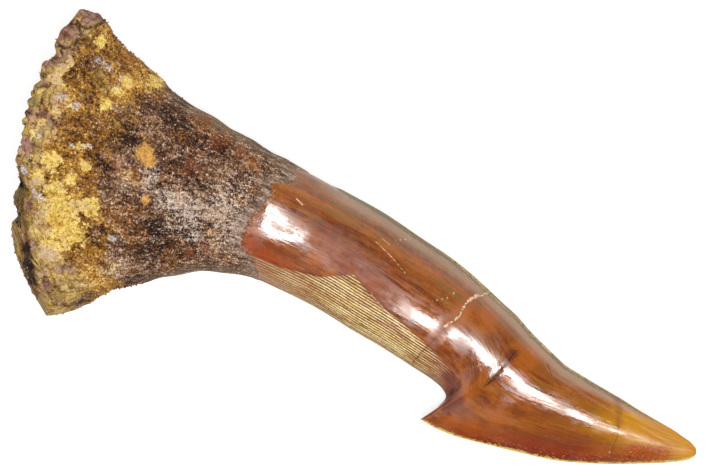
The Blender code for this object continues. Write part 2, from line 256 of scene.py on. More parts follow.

# Lines across the cap: half width in millimetres and points in the tooth's frame. The pale ones
# hold crumbs of cement or are scratches, the dark ones are open hairlines. The long pale pair
# across the middle of the cap and the pale line along the top of the striated band are partly
# painted highlights along thin ridges too.
PALE_LINES = (
    (0.1, ((33.95, 3.6), (33.6, 3.1))),
    (0.05, ((47.4, -4.0), (47.5, -4.0))),
    (0.05, ((48.7, -3.5), (48.8, -3.5))),
    (0.05, ((32.0, 2.6), (32.3, 3.3))),
    (0.04, ((30.9, 1.8), (32.0, 2.6))),
    (0.035, ((17.7, 4.85), (18.5, 4.55))),
    (0.022, ((24.7, 4.35), (26.6, 3.65), (28.2, 2.85))),
    (0.018, ((25.0, 4.8), (26.0, 4.5))),
    (0.035, ((26.0, 4.9), (27.3, 5.6))),
    (0.03, ((26.2, 0.3), (28.0, -0.5), (29.4, -1.15), (31.0, -1.7))))
DARK_LINES = (
    (0.03, ((44.2, -0.1), (43.8, -0.8))),
    (0.025, ((43.3, -2.4), (43.1, -3.4))),
    (0.025, ((42.0, -3.9), (42.2, -4.8))),
    (0.025, ((39.0, -4.1), (39.5, -4.6))),
    (0.03, ((41.3, 1.0), (42.1, 0.2), (42.4, -0.5))))

# Cracks across the cap. The first is filled with cement down to CEMENT_END across the tooth, and
# the one at the step is widest round STEP_MIDDLE.
CRACKS = {
    "cement_crack": (
        (34.8, 4.2), (34.3, 3.8), (33.9, 3.6), (33.5, 2.9), (33.4, 2.5), (33.35, 1.8), (33.2, 1.3),
        (32.8, 0.8), (32.6, 0.2), (32.4, -0.5), (32.1, -1.4), (31.8, -2.2), (31.5, -3.3)),
    "step_crack": (
        (38.6, 0.9), (38.4, 0.2), (38.1, -0.9), (37.9, -1.8), (37.4, -2.8)),
    "tip_crack": (
        (47.6, 0.6), (48.1, -0.1), (48.4, -1.0), (48.8, -2.1), (48.8, -2.8), (49.1, -4.2)),
}
CEMENT_END = 0.2

# Stains of the base face: name, size of their noise, its seed, where they start, and their most.
BASE_STAINS = (("gloom", 1.9, 7.0, 0.0, 1.0), ("yellow", 1.7, 5.0, 0.1, 0.6),
               ("purple", 2.1, 9.0, 0.1, 0.8), ("smooth", 1.7, 5.0, 0.25, 0.8),
               ("green", 2.4, 4.0, 0.1, 0.7))

# A distance that means nowhere near, in millimetres.
FAR_OFF = 9.0

# Facts that the material reads, three to a named attribute.
ATTRIBUTES = {
    "zones": ("crust", "band", "phase"),
    "relief": ("rise", "ochre", "height"),
    "edges": ("front", "back", "along"),
    "stains": ("yellow", "polish", "rust"),
    "tints": ("mauve", "amber", "dust_and_sheen"),
    "tone": ("warm", "pale", "smooth"),
    "lines": ("pale_lines", "dark_lines", "layers"),
    "cracks": ("cement_crack", "step_crack", "tip_crack"),
    "skin": ("folded", "gloom", "crease"),
    "spots": ("orange", "green", "purple"),
}

# Sand grains cemented on the root, modelled one by one: how many, their least and greatest radius
# in millimetres, how deep they sit as a share of their size, how far they are scattered, and how
# much they are stretched and roughened. Those lower than GRAIN_CLEARANCE are left out. They are
# thinned out along the edges of the neck, which starts over the stretch NECK.
GRAINS = 8000
GRAIN_SEED = 11
GRAIN_RADII = (0.04, 0.12)
GRAIN_SINK = 0.46
GRAIN_SCATTER = 0.03
GRAIN_STRETCH = (0.65, 1.15)
GRAIN_ROUGHNESS = (0.85, 1.1)
GRAIN_CLEARANCE = 0.3
NECK = (5.0, 8.0)

# The grain of the surface, as sizes in millimetres: one sand grain, a dust speck drawn as coarse
# as it needs to show, a crumb of two or three grains, a clod and a broad stain; then how far the
# veins and the fibres of growth are drawn out along the tooth.
GRAIN = 0.2
SPECK = 0.105
CRUMB = 0.36
CLOD = 0.85
STAIN = 2.3
VEIN_STRETCH = (0.22, 1.0, 1.0)
FIBRE_STRETCH = (0.07, 1.0, 1.0)

# Sand crust, cemented by iron-rich cement: rough, dull and granular, with painted shade that
# darkens its hollows. The colour stops run from the painted shade of the hollows to the highest
# crumbs.
DARK_CRUST = ((0.1, "#160b08"), (0.3, "#382018"), (0.45, "#593a29"), (0.6, "#7a573e"),
              (0.76, "#a68568"), (0.92, "#e0cab2"))
WARM_CRUST = ((0.1, "#221006"), (0.3, "#4a2812"), (0.45, "#704420"), (0.6, "#946234"),
              (0.76, "#bd8d54"), (0.92, "#e6c292"))
GOLD_CRUST = ((0.1, "#2c1708"), (0.3, "#5c3814"), (0.45, "#845620"), (0.58, "#a5722c"),
              (0.72, "#cb9944"), (0.9, "#efd184"))
YELLOW_CRUST = ((0.15, "#7c5420"), (0.32, "#bb8d38"), (0.46, "#dab454"), (0.62, "#ecce74"),
                (0.85, "#f8eba6"))
FOLDED_CRUST = ((0.15, "#452b10"), (0.32, "#8a6428"), (0.44, "#b28f52"), (0.54, "#c7a672"),
                (0.66, "#d8b862"), (0.8, "#eed694"))
CRUST_SPECULAR = 0.15
CRUST_ROUGHNESS = 0.85

# The folded crust of the rim: size of its swells, how finely they bend, and depth of one layer.
SWELL_SIZE = 0.85
SWELL_BEND = 0.7
LAYER_DEPTH = 0.26

# Fossil enamel, polished by wear: a glassy brown skin with growth streaks along the tooth. The
# streaks are 0.1 to 0.9 mm apart and many times as long.
ENAMEL_STREAKS = ((0.28, "#4c260c"), (0.4, "#77380f"), (0.5, "#8e4511"), (0.6, "#a05614"),
                  (0.72, "#8a5a1c"))
BAND_RIDGES = ((0.18, "#4a2412"), (0.36, "#885026"), (0.5, "#b3833a"), (0.66, "#d9bb70"),
               (0.84, "#f2e2b4"))
SPECKLES = (("#dc9448", "grit", 0.6, 0.66), ("#451006", "grit", 0.44, 0.37))
APATITE_IOR = 1.6

# The enamel's gloss: its strength, its roughness where only weathered and where handling has
# polished it, and how far it reaches past the edge of the crust, under the last thin crumbs.
ENAMEL_SPECULAR = 0.52
SATIN = 0.24
POLISHED = 0.12
ENAMEL_REACH = 0.5

# Quartz sand: glassy grains, some of them frosted, from the least to the greatest roughness.
QUARTZ_IOR = 1.54
SAND_SPECULAR = 0.4
SAND_ROUGHNESS = (0.25, 0.8)

# The photograph's frame: 708 pixels wide, one pixel for each 0.08 mm, with the tooth's length
# turned 24 degrees down from the picture's width.
PICTURE_WIDTH = 708
PIXEL = 0.08
PICTURE_TURN = 24.0
PICTURE_MIDDLE = (23.1, 3.98, 0.0)
LENS = 200.0
SENSOR = 36.0
CLIP_START = 0.01

# The studio. Soft boxes: name, direction as right, top and towards the camera, distance and size
# in metres, and radiance. Then the walls as light and as backdrop, and the card of the floor.
SOFT_BOXES = (("key", (0.1, -0.1, 1.0), 0.5, (0.26, 0.08), 36.0),
              ("panel", (0.25, 1.0, 0.35), 0.5, (0.6, 0.3), 1.0),
              ("fill", (-0.6, -0.5, 0.7), 0.6, (0.4, 0.4), 1.2))
WALL_LIGHT = 0.16
WALL_SEEN = 0.95
WHITE = (1.0, 1.0, 1.0, 1.0)
CARD = (0.35, 0.35, 0.35, 1.0)
CARD_ROUGHNESS = 0.9
CARD_GLOW = 0.75
FLOOR_HALF = 0.6
FLOOR_DROP = 0.0001


def smooth_step(start, end, value):
    """0 before start, 1 after end, and a smooth rise between them."""
    share = np.clip((value - start) / (end - start), 0.0, 1.0)
    return share * share * (3.0 - 2.0 * share)


def curve_through(knots, values, places):
    """A smooth curve through the values at the knots, read at the places."""
    knots = np.asarray(knots, float)
    values = np.asarray(values, float)
    slopes = np.gradient(values, knots)
    index = np.clip(np.searchsorted(knots, places, side="right") - 1, 0, len(knots) - 2)
    width = knots[index + 1] - knots[index]
    share = (places - knots[index]) / width
    low, high = values[index], values[index + 1]
    start = slopes[index] * width
    end = slopes[index + 1] * width
    return (low * (1.0 + 2.0 * share) * (1.0 - share) ** 2 + start * share * (1.0 - share) ** 2
            + high * share ** 2 * (3.0 - 2.0 * share) + end * share ** 2 * (share - 1.0))


def lines_at(along):
    """Front edge, back edge, half thickness and the two edge sharpnesses at places along."""
    knots = [line[0] for line in LINES]

    def column(pick, first=0, last=len(LINES)):
        return curve_through(knots[first:last], [pick(line) for line in LINES[first:last]], along)

    barb = knots.index(BARB)
    back = [np.where(along < BARB, column(lambda line, axis=axis: line[2][axis], 0, barb + 1),
                     column(lambda line, axis=axis: line[2][axis], barb)) for axis in (0, 1)]
    front = [column(lambda line, axis=axis: line[1][axis]) for axis in (0, 1)]
    return front, back, *(column(lambda line, part=part: line[part]) for part in (3, 4, 5))


def turns_round():
    """Angles round the section, spaced evenly along an ellipse twice as wide as it is thick."""
    angle = np.linspace(0.0, 2.0 * math.pi, 2001)
    step = np.hypot(np.diff(2.0 * np.cos(angle)), np.diff(np.sin(angle)))
    length = np.concatenate(([0.0], np.cumsum(step)))
    wanted = np.arange(AROUND) / AROUND * length[-1]
    return np.interp(wanted, length, angle)


def bow_at(across):
    """How far the rim of the base bows back, from 0 at its corners to 1."""
    skew = math.log(0.5) / math.log(BOW_PLACE)
    return np.sin(math.pi * across ** skew)


def surface(along, turn):
    """Points of the bare form: along the tooth in millimetres, turned round it in radians."""
    front, back, half, front_edge, back_edge = lines_at(along)
    across = 0.5 * (1.0 - np.cos(turn))
    peak = front_edge / (front_edge + back_edge)
    top = peak ** front_edge * (1.0 - peak) ** back_edge
    lens = across ** front_edge * (1.0 - across) ** back_edge / top
    bow = BOW * bow_at(across) * np.exp(-(along / BOW_FADE) ** 2)
    x = front[0] + (back[0] - front[0]) * across - bow
    y = front[1] + (back[1] - front[1]) * across
    z = half * lens * np.sign(np.sin(turn))
    return np.stack([x, y, z], axis=-1), across


def rim_point(across):
    """Where the rim of the base lies, across the tooth from its front to its back corner."""
    x = FRONT_CORNER[0] + (BACK_CORNER[0] - FRONT_CORNER[0]) * across - BOW * bow_at(across)
    return x, FRONT_CORNER[1] + (BACK_CORNER[1] - FRONT_CORNER[1]) * across


def base_face(rim, bare_rim, across, ring):
    """One ring of the base face, drawn in from the rim: ring is 1 at the rim, 0 at the middle."""
    inner = 0.5 + (across - 0.5) * ring
    height = ring * (rim[:, 2] * ring ** 2 + bare_rim[:, 2] * (1.0 - ring ** 2))
    depth = math.sqrt(1.0 - ring ** 2)
    out = SWELL * depth * np.exp(-((inner - SWELL_PLACE) / SWELL_WIDTH) ** 2)
    out -= HOLLOW * depth * np.exp(-((inner - HOLLOW_PLACE) / SWELL_WIDTH) ** 2)
    out += RIM_ROUNDING * (1.0 - ring ** 6) + (bare_rim[:, 0] - rim[:, 0]) * ring
    chord = math.dist(FRONT_CORNER, BACK_CORNER)
    for place, rise, radius, pit_depth in PITS:
        away = np.hypot((inner - place) * chord, height - rise) / radius
        out -= pit_depth * np.exp(-away ** 2) * (1.0 - ring ** 6)
    x, y = rim_point(inner)
    return np.stack([x - out, y, height], axis=-1)


def noise_over(points, size, seed=0.0):
    """Smooth noise between about -1 and 1 over points, with lumps of one size in millimetres."""
    shift = Vector((size, 3.0 + seed, 7.0))
    flat = points.reshape(-1, 3) / size
    values = [noise.noise(Vector(point) + shift) for point in flat]
    return np.array(values).reshape(points.shape[:-1])


def away_from(points, x, y):
    """Distance of the points from a place, seen square to the tooth's side, in millimetres."""
    return np.hypot(points[..., 0] - x, points[..., 1] - y)


def spots_over(points, spots):
    """How much of each spot covers the points: 1 in its middle, less than 0.4 past its radius."""
    seen = points[..., :2] - np.where(points[..., 2:] < 0.0, UNDERSIDE_SHIFT, 0.0)
    cover = np.zeros(points.shape[:-1])
    for x, y, radius, *height in spots:
        cover = np.maximum(cover, np.exp(-(away_from(seen, x, y) / radius) ** 2))
    return cover


def hollows_over(points, hollows):
    """Depth of round hollows at the points, in millimetres: x, y, radius and depth of each."""
    return sum(depth * np.exp(-(away_from(points, x, y) / radius) ** 2)
               for x, y, radius, depth in hollows)


def crest_change(along, across, chord):
    """Height that flattens or sharpens the crest of the cap in a few places, in millimetres."""
    height = np.zeros(along.shape)
    for place, middle, reach, width, rise in CREST_CHANGES:
        far = ((along - place) / reach) ** 2 + ((across - middle) * chord / width) ** 2
        height += rise * np.exp(-far)
    return height


def line_distance(points, path):
    """Distance to a path over the tooth, in millimetres, positive on its tip side."""
    best = np.full(points.shape[:-1], FAR_OFF)
    sign = np.ones(points.shape[:-1])
    for start, end in zip(path[:-1], path[1:]):
        run = np.subtract(end, start)
        offset = points[..., :2] - np.array(start)
        share = (offset @ run) / (run @ run)
        near = offset - np.clip(share, 0.0, 1.0)[..., None] * run
        away = np.hypot(near[..., 0], near[..., 1])
        nearer = away < best
        best = np.where(nearer, away, best)
        sign = np.where(nearer, np.sign(offset[..., 0] * -run[1] + offset[..., 1] * run[0]), sign)
    return best * sign


def widths_from(points, lines):
    """Distance to the nearest of several lines, counted in half widths of that line."""
    counted = [np.abs(line_distance(points, path)) / width for width, path in lines]
    return np.minimum.reduce(counted)


def ring_places():
    """Distances along the tooth of the mesh's rings, from the rim to the tip."""
    places = []
    for line, following in zip(LINES[:-1], LINES[1:]):
        spacing = ROOT_SPACING if line[0] < CAP_START else CAP_SPACING
        if BARB_REACH[0] < line[0] < BARB_REACH[1]:
            spacing = BARB_SPACING
        rings = math.ceil((following[0] - line[0]) / spacing)
        places += list(np.linspace(line[0], following[0], rings, endpoint=False))
    return places + [LINES[-1][0]]


def normals_of(grid):
    """Outward directions of a grid of rings, worked out from its neighbours."""
    ahead = np.gradient(grid, axis=0)
    round_it = np.roll(grid, -1, axis=1) - np.roll(grid, 1, axis=1)
    normal = np.cross(round_it, ahead)
    return normal / np.maximum(np.linalg.norm(normal, axis=-1, keepdims=True), 1e-9)


def fold_wave(turn):
    """The folds of the rim: rounded lobes with narrow creases, from -1 in a crease to 0."""
    lobe = np.abs(np.sin(0.5 * FOLDS * turn + 0.8 * np.sin(3.0 * turn) + 0.5 * np.sin(7.0 * turn)))
    return lobe ** 0.7 - 1.0


def rim_lobes(from_front):
    """The fine lobes of the rim, from 0 in their creases to 1, drawn in along the root."""
    walked = np.broadcast_to(from_front[:1], from_front.shape)
    wander = 0.8 * np.sin(0.9 * walked) + 0.5 * np.sin(2.3 * walked)
    return np.abs(np.sin(math.pi * walked / LOBE_WIDTH + wander)) ** 0.6


def rim_outward(across):
    """Directions straight out from the rim of the base, in the plane of the tooth."""
    ahead_x, ahead_y = rim_point(np.clip(across + 0.01, 0.0, 1.0))
    behind_x, behind_y = rim_point(np.clip(across - 0.01, 0.0, 1.0))
    run_x, run_y = ahead_x - behind_x, ahead_y - behind_y
    length = np.hypot(run_x, run_y)
    return np.stack([run_y / length, -run_x / length, 0.0 * across], axis=-1)


def pebbles_over(points, pebbles):
    """How far round pebbles stand out at the points, and how near the points lie to their rims."""
    height = np.zeros(points.shape[:-1])
    crease = np.zeros(points.shape[:-1])
    for x, y, radius, rise in pebbles:
        away = away_from(points, x, y) / radius
        dome = rise * np.sqrt(np.maximum(1.0 - away ** 2, 0.0))
        height = np.where(np.abs(dome) > np.abs(height), dome, height)
        crease = np.maximum(crease, np.exp(-((away - 1.05) / 0.16) ** 2))
    return height, crease * (height == 0.0)


def small_pebbles():
    """The even pebbles down the middle of the rim, in an outer and an inner row."""
    pebbles = []
    for step in range(SMALL_PEBBLES):
        x, y = rim_point(SMALL_PEBBLE_START + SMALL_PEBBLE_SPACING * step)
        wobble = math.sin(2.4 * step)
        pebbles.append((x - 0.25, y, 0.42 + 0.08 * wobble, 0.28 + 0.07 * wobble))
        pebbles.append((x + 0.6, y - 0.35, 0.44 - 0.06 * wobble, 0.15))
    return pebbles


def edge_distances(bare):
    """Distance from the front edge and from the back edge, over the surface, in millimetres."""
    step = np.linalg.norm(np.roll(bare, -1, axis=1) - bare, axis=-1)
    walked = np.cumsum(step, axis=1) - step
    whole = step.sum(axis=1, keepdims=True)
    from_front = np.minimum(walked, whole - walked)
    return from_front, whole / 2.0 - from_front


def fields_of(bare, along, across):
    """What lies where on the tooth, as distances in millimetres and shares from 0 to 1."""
    ragged = 0.35 * noise_over(bare, 1.3) + 0.18 * noise_over(bare, 0.5)
    shifted = np.clip(across + np.where(bare[..., 2] < 0.0, 0.07, 0.0), 0.0, 1.0)
    front, back, *rest = lines_at(along)
    chord = np.hypot(back[0] - front[0], back[1] - front[1])
    band = (across - np.interp(along, *np.transpose(BAND))) * chord
    band = np.minimum(band, (along - BAND[0][0]) * 1.5)
    from_front, from_back = edge_distances(bare)
    fields = {name: spots_over(bare, spots) for name, spots in PATCHES.items()}
    fields["folded"] = np.maximum(fields["folded"], 1.0 - smooth_step(0.6, 2.4, along))
    for name, path in CRACKS.items():
        fields[name] = line_distance(bare, path)
    fields.update({
        "crust": np.interp(shifted, *np.transpose(COLLAR)) - along + ragged,
        "ochre": np.interp(shifted, *np.transpose(OCHRE_END)) - along + 3.0 * ragged,
        "band": np.minimum(band, BAND_END - along),
        "from_front": from_front,
        "from_back": from_back,
        "chord": chord,
        "front": across * chord,
        "back": (1.0 - across) * chord,
        "along": along,
        "height": bare[..., 1],
        "layers": 1.0 / np.hypot(1.0 / (along + 0.3), 1.0 / ((1.0 - across) * chord + 0.3)),
        "pale_lines": widths_from(bare, PALE_LINES),
        "dark_lines": widths_from(bare, DARK_LINES),
    })
    return fields


def crust_relief(points, smooth_share):
    """Height of the crust's lumps and grit, in millimetres; grit is held back where smooth."""
    height = np.full(points.shape[:-1], CRUST_HEIGHT)
    for size, rise in LUMPS:
        height += rise * noise_over(points, size)
    for size, rise in FINE_LUMPS:
        height += rise * noise_over(points, size) * (1.0 - 0.75 * smooth_share)
    return height


def root_relief(bare, along, fields, patch):
    """Height of the crust on the flanks, calmer along the neck's edges and on yellow patches."""
    edge = np.minimum(fields["front"], fields["back"])
    calm = smooth_step(*NECK, along) * (1.0 - smooth_step(0.5, 1.5, edge))
    height = crust_relief(bare, np.maximum.reduce([patch, calm, 0.8 * fields["folded"]]))
    height = CRUST_HEIGHT + (height - CRUST_HEIGHT) * (1.0 - 0.6 * calm)
    return height - hollows_over(bare, EDGE_DENTS) + 0.1 * patch


def groove(distance, width, depth):
    """A soft groove, or a ridge where its depth is below 0, at distances from its middle."""
    return -depth * np.exp(-(distance / width) ** 2)


def cap_relief(bare, along, across, column, fields):
    """Height of the cap's striae, keel and cracks, in millimetres."""
    phase = np.cos(2.0 * math.pi * column / STRIA_COLUMNS)
    in_band = smooth_step(-0.15, 0.15, fields["band"])
    thin_edge = smooth_step(0.0, 0.35, fields["from_back"])
    height = in_band * thin_edge * (STRIA_HEIGHT * phase - BAND_DROP)
    keel = smooth_step(KEEL_START, KEEL_START + 1.0, along) * (1.0 - smooth_step(*KEEL_END, along))
    height += keel * (groove(fields["from_front"], KEEL_WIDTH, -KEEL_HEIGHT)
                      + groove(fields["from_front"] - KEEL_FOOT, *KEEL_GROOVE)
                      + groove(fields["front"] - MARGIN_END, *MARGIN_GROOVE))
    height += groove(fields["pale_lines"], 2.0, LINE_DEPTH)
    height += groove(fields["dark_lines"], 3.0, LINE_DEPTH)
    height += groove(line_distance(bare, BARB_RIDGE), BARB_RIDGE_WIDTH, -BARB_RIDGE_HEIGHT)
    crack = fields["step_crack"]
    step = STEP_HEIGHT * smooth_step(-0.6, -0.1, crack) * (crack < 0.0)
    height += step * (1.0 - smooth_step(0.9, 1.8, np.abs(bare[..., 1] - STEP_MIDDLE)))
    height += RIPPLE_HEIGHT * noise_over(bare, RIPPLE_SIZE)
    return height + crest_change(along, across, fields["chord"]) * (bare[..., 2] > 0.0)


def rim_folds(bare, along, turn, from_front):
    """How far the folds and pebbles of the rim stand out, and the creases between them."""
    side = bare[..., 2] > 0.0
    share = np.where(side, SHOWN_FOLDS, 1.0)
    lobe = rim_lobes(from_front)
    fading = np.exp(-along / LOBE_FADE)
    folds = share * FOLD_HEIGHT * fold_wave(turn) * np.exp(-along / FOLD_FADE)
    folds += share * LOBE_HEIGHT * (lobe - 1.0) * fading
    pebbles, creases = pebbles_over(bare, list(RIM_PEBBLES) + small_pebbles())
    folds += (pebbles * side - 0.1) * fading
    folds *= smooth_step(0.3, 2.0, away_from(bare, *BACK_CORNER))
    return folds, np.where(side, creases, (1.0 - lobe) * fading)


def flank_rings(turn_of_column):
    """The rings of the root and the cap, with everything that is known about their points."""
    along, turn = np.meshgrid(ring_places(), turn_of_column, indexing="ij")
    bare, across = surface(along, turn)
    normal = normals_of(bare)
    column = np.broadcast_to(np.arange(AROUND), along.shape)
    fields = fields_of(bare, along, across)
    patch = smooth_step(0.35, 0.6, fields["yellow"] + 0.25 * noise_over(bare, 0.6))
    on_crust = 0.3 * smooth_step(-0.15, 0.1, fields["crust"])
    on_crust += 0.7 * smooth_step(-0.1, 1.8, fields["crust"])
    from_corner = away_from(bare, *FRONT_CORNER)
    corner = smooth_step(0.0, 0.7, from_corner)
    height = root_relief(bare, along, fields, patch) * on_crust * corner
    height += cap_relief(bare, along, across, column, fields) * (1.0 - on_crust)
    height -= hollows_over(bare, CRUST_PITS) * (bare[..., 2] > 0.0)
    folds, creases = rim_folds(bare, along, turn, fields["from_front"])
    outward = 0.6 * normal + rim_outward(across) * np.exp(-along / FOLD_FADE)[..., None]
    rings = bare + normal * height[..., None] + outward * (folds * corner)[..., None]
    from_back_corner = away_from(bare, *BACK_CORNER)
    rings[..., 0] -= CORNER_GROWTH * np.exp(-(from_back_corner / 1.4) ** 2 - along)
    rings[..., 1] += FRONT_CORNER_GROWTH * np.exp(-(from_corner / 0.5) ** 2 - along)
    fields["crease"] = creases
    fields["phase"] = column / STRIA_COLUMNS
    fields["smooth"] = np.maximum(patch, smooth_step(0.3, 0.7, fields["purple"]))
    fields["rise"] = height - CRUST_HEIGHT + folds
    return rings, bare, across, fields


def base_rings(rim, bare_rim, across):
    """The rings of the base face, from the middle out to the rim, and its creases."""
    rings = np.array([base_face(rim, bare_rim, across, 1.0 - step / BASE_RINGS)
                      for step in range(BASE_RINGS - 1, 0, -1)])
    lumps = crust_relief(rings, np.zeros(rings.shape[:-1])) - CRUST_HEIGHT
    inwards = np.linspace(0.15, 1.0, BASE_RINGS - 1)[::-1, None]
    rings[..., 0] -= 0.6 * lumps * np.minimum(inwards * 2.0, 1.0)
    pebbles, creases = pebbles_over(rings, BASE_PEBBLES)
    rings[..., 0] -= pebbles * (rings[..., 2] > -1.0) * smooth_step(0.1, 0.5, inwards)
    worn = BASE_WEAR * smooth_step(-8.0, -6.0, rings[..., 1])
    rings[..., 0] += worn * smooth_step(0.0, 0.5, inwards)
    return rings, creases


def base_fields(rings, fields, creases):
    """The same facts for the base face: all golden crust, with dark and green stains."""
    blank = {name: np.zeros(rings.shape[:-1]) for name in fields}
    for name in ("crust", "ochre", "front", "back", "pale_lines", "dark_lines", *CRACKS):
        blank[name] += FAR_OFF
    for name, size, seed, start, most in BASE_STAINS:
        blank[name] += smooth_step(start, 0.5, noise_over(rings, size, seed)) * most
    blank["green"] = np.maximum(blank["green"], 1.2 * spots_over(rings, BASE_PEBBLES[:1]))
    # Pebble rims and pits count as crease, which the finish darkens as painted shade.
    pits = [pebble for pebble in BASE_PEBBLES if pebble[3] < 0.0]
    blank["crease"] += np.maximum(0.8 * creases, 1.3 * spots_over(rings, pits))
    blank["band"] -= FAR_OFF
    blank["along"] -= 1.0
    blank["phase"] += fields["phase"][:1]
    blank["layers"] += np.linspace(4.0, 0.2, len(rings))[:, None]
    blank["folded"] += 0.7
    blank["rise"] += 0.5 * noise_over(rings, 1.9)
    return blank


def rod_coordinates(along, turn):
    """Places on a straight rod, for streaks that follow the tooth and never jump."""
    return np.stack([along, ROD_RADIUS * np.cos(turn), ROD_RADIUS * np.sin(turn)], axis=-1)


def tooth_turn():
    """The turn from the tooth's frame to the scene."""
    roll = Matrix.Rotation(math.radians(ROLL), 3, "X")
    return Matrix.Rotation(math.radians(PITCH), 3, "Y") @ roll


def lie_down(points):
    """Lay points of the tooth's frame on the floor, never below it, and turn them into metres."""
    lying = points.reshape(-1, 3) @ np.array(tooth_turn()).T + np.array(REST_PLACE)
    height = lying[:, 2]
    lying[:, 2] = 0.5 * (height + np.sqrt(height ** 2 + FLOOR_ROUNDING ** 2))
    return lying * MM


def tooth_form():
    """The tooth's rings, from the middle of the base face to the tip, and the facts on them."""
    turns = turns_round()
    flank, bare, across, fields = flank_rings(turns)
    base, creases = base_rings(flank[0], bare[0], across[0])
    facts = {name: np.concatenate([values, fields[name]])
             for name, values in base_fields(base, fields, creases).items()}
    rings = np.concatenate([base, flank])
    dent = sum(depth * np.exp(-((rings[..., 1] - place) / reach) ** 2)
               for place, reach, depth in RIM_DENTS)
    rings[..., 0] += dent * np.exp(-np.maximum(facts["along"], 0.0) / LOBE_FADE)
    kept = {name: np.stack([facts[part] for part in parts], axis=-1)
            for name, parts in ATTRIBUTES.items()}
    walked = np.concatenate([np.linspace(*FACE_REACH, len(base)), ring_places()])
    kept["rod"] = rod_coordinates(*np.meshgrid(walked, turns, indexing="ij"))
    return rings, kept


def closed_faces(rows, columns):
    """Quads between neighbouring rings, and triangles round the point that closes each end."""
    corner = np.arange(rows * columns).reshape(rows, columns)
    near, far = corner[:-1], corner[1:]
    quads = np.stack([near, np.roll(near, -1, axis=1), np.roll(far, -1, axis=1), far], axis=-1)
    first = np.stack([np.full(columns, corner.size), np.roll(corner[0], -1), corner[0]], axis=-1)
    last = np.stack([np.full(columns, corner.size + 1), corner[-1], np.roll(corner[-1], -1)],
                    axis=-1)
    return quads.reshape(-1, 4).tolist() + first.tolist() + last.tolist()


def new_piece(name, points, faces):
    """A mesh object of the scene, from its points in metres and its faces."""
    mesh = bpy.data.meshes.new(name)
    mesh.from_pydata(points, [], faces)
    piece = bpy.data.objects.new(name, mesh)
    bpy.context.collection.objects.link(piece)
    return piece


def store(mesh, name, values):
    """Keep three values for each point of a mesh under a name."""
    layer = mesh.attributes.new(name, "FLOAT_VECTOR", "POINT")
    layer.data.foreach_set("vector", values.astype(np.float32).ravel())


def build_tooth():
    """The whole tooth as one fine closed mesh, with its facts as attributes."""
    rings, kept = tooth_form()
    ends = np.array([rings[0].mean(axis=0), rings[-1].mean(axis=0) + [TIP_LENGTH, 0.0, 0.0]])
    faces = closed_faces(*rings.shape[:2])
    tooth = new_piece("fossil_tooth", lie_down(np.concatenate([rings.reshape(-1, 3), ends])), faces)
    mesh = tooth.data
    mesh.shade_smooth()
    for name, values in kept.items():
        store(mesh, name, np.concatenate([values.reshape(-1, 3), values[0, :1], values[-1, :1]]))
    crust = np.concatenate([kept["zones"][..., 0].ravel(), [FAR_OFF, -FAR_OFF]])
    on_enamel = crust < ENAMEL_REACH
    mesh.materials.append(tooth_material("iron_cemented_sand_crust", CRUST_SPECULAR))
    mesh.materials.append(tooth_material("worn_fossil_enamel", ENAMEL_SPECULAR))
    mesh.polygons.foreach_set("material_index", [int(on_enamel[face].any()) for face in faces])
    return tooth, rings, kept


def grain_places(rings, kept, dice):
    """Where grains sit: indexes of mesh points, more of them where the crust is rough and low."""
    crust = kept["zones"][..., 0]
    front, back, along = np.moveaxis(kept["edges"], -1, 0)
    smooth = kept["tone"][..., 2]
    edge = np.minimum(front, back)
    area = np.linalg.norm(np.cross(np.gradient(rings, axis=0),
                                   np.roll(rings, -1, axis=1) - rings), axis=-1)
    clumps = smooth_step(-0.5, 0.5, noise_over(rings, 1.1, 2.0))
    weight = area * smooth_step(0.6, 2.4, crust) * (0.25 + clumps) * (1.0 - 0.9 * smooth)
    weight *= smooth_step(0.3, 1.3, along) + (along < 0.0)
    weight *= 1.0 - smooth_step(*NECK, along) * (1.0 - smooth_step(0.8, 1.7, edge))
    weight *= 1.0 - 0.75 * np.minimum(kept["skin"][..., 0], 1.0)
    weight[:3] = 0.0
    chance = (weight / weight.sum()).ravel()
    return dice.choice(chance.size, GRAINS, replace=False, p=chance)


def ball_form():
    """Corners and triangles of a ball of radius 1 with few faces."""
    ball = bmesh.new()
    bmesh.ops.create_icosphere(ball, subdivisions=1, radius=1.0)
    corners = np.array([vertex.co for vertex in ball.verts])
    triangles = np.array([[vertex.index for vertex in face.verts] for face in ball.faces])
    ball.free()
    return corners, triangles


def build_grains(rings, kept):
    """The sand grains as one joined mesh of rough icosahedra, each with its own tint."""
    dice = np.random.default_rng(GRAIN_SEED)
    picked = grain_places(rings, kept, dice)
    normal = normals_of(rings).reshape(-1, 3)[picked]
    place = rings.reshape(-1, 3)[picked] + dice.normal(0.0, GRAIN_SCATTER, (GRAINS, 3))
    radius = GRAIN_RADII[0] + (GRAIN_RADII[1] - GRAIN_RADII[0]) * dice.beta(1.6, 2.6, GRAINS)
    place = place + normal * (radius * (1.0 - 2.0 * GRAIN_SINK))[:, None]
    high_enough = lie_down(place)[:, 2] > GRAIN_CLEARANCE * MM
    picked, place, radius = picked[high_enough], place[high_enough], radius[high_enough]
    corners, triangles = ball_form()
    count = len(picked)
    stretch = dice.uniform(*GRAIN_STRETCH, (count, 1, 3))
    rough = dice.uniform(*GRAIN_ROUGHNESS, (count, len(corners), 1))
    turn = np.linalg.qr(dice.normal(size=(count, 3, 3)))[0]
    turn[np.linalg.det(turn) < 0.0, :, 0] *= -1.0
    shapes = np.einsum("nij,nkj->nki", turn, corners * stretch * rough)
    points = place[:, None] + shapes * radius[:, None, None]
    faces = triangles[None] + (np.arange(count) * len(corners))[:, None, None]
    grains = new_piece("sand_grains", lie_down(points), faces.reshape(-1, 3).tolist())
    for name, values in kept.items():
        store(grains.data, name, np.repeat(values.reshape(-1, 3)[picked], len(corners), axis=0))
    store(grains.data, "tint", np.repeat(dice.uniform(size=(count, 3)), len(corners), axis=0))
    return grains


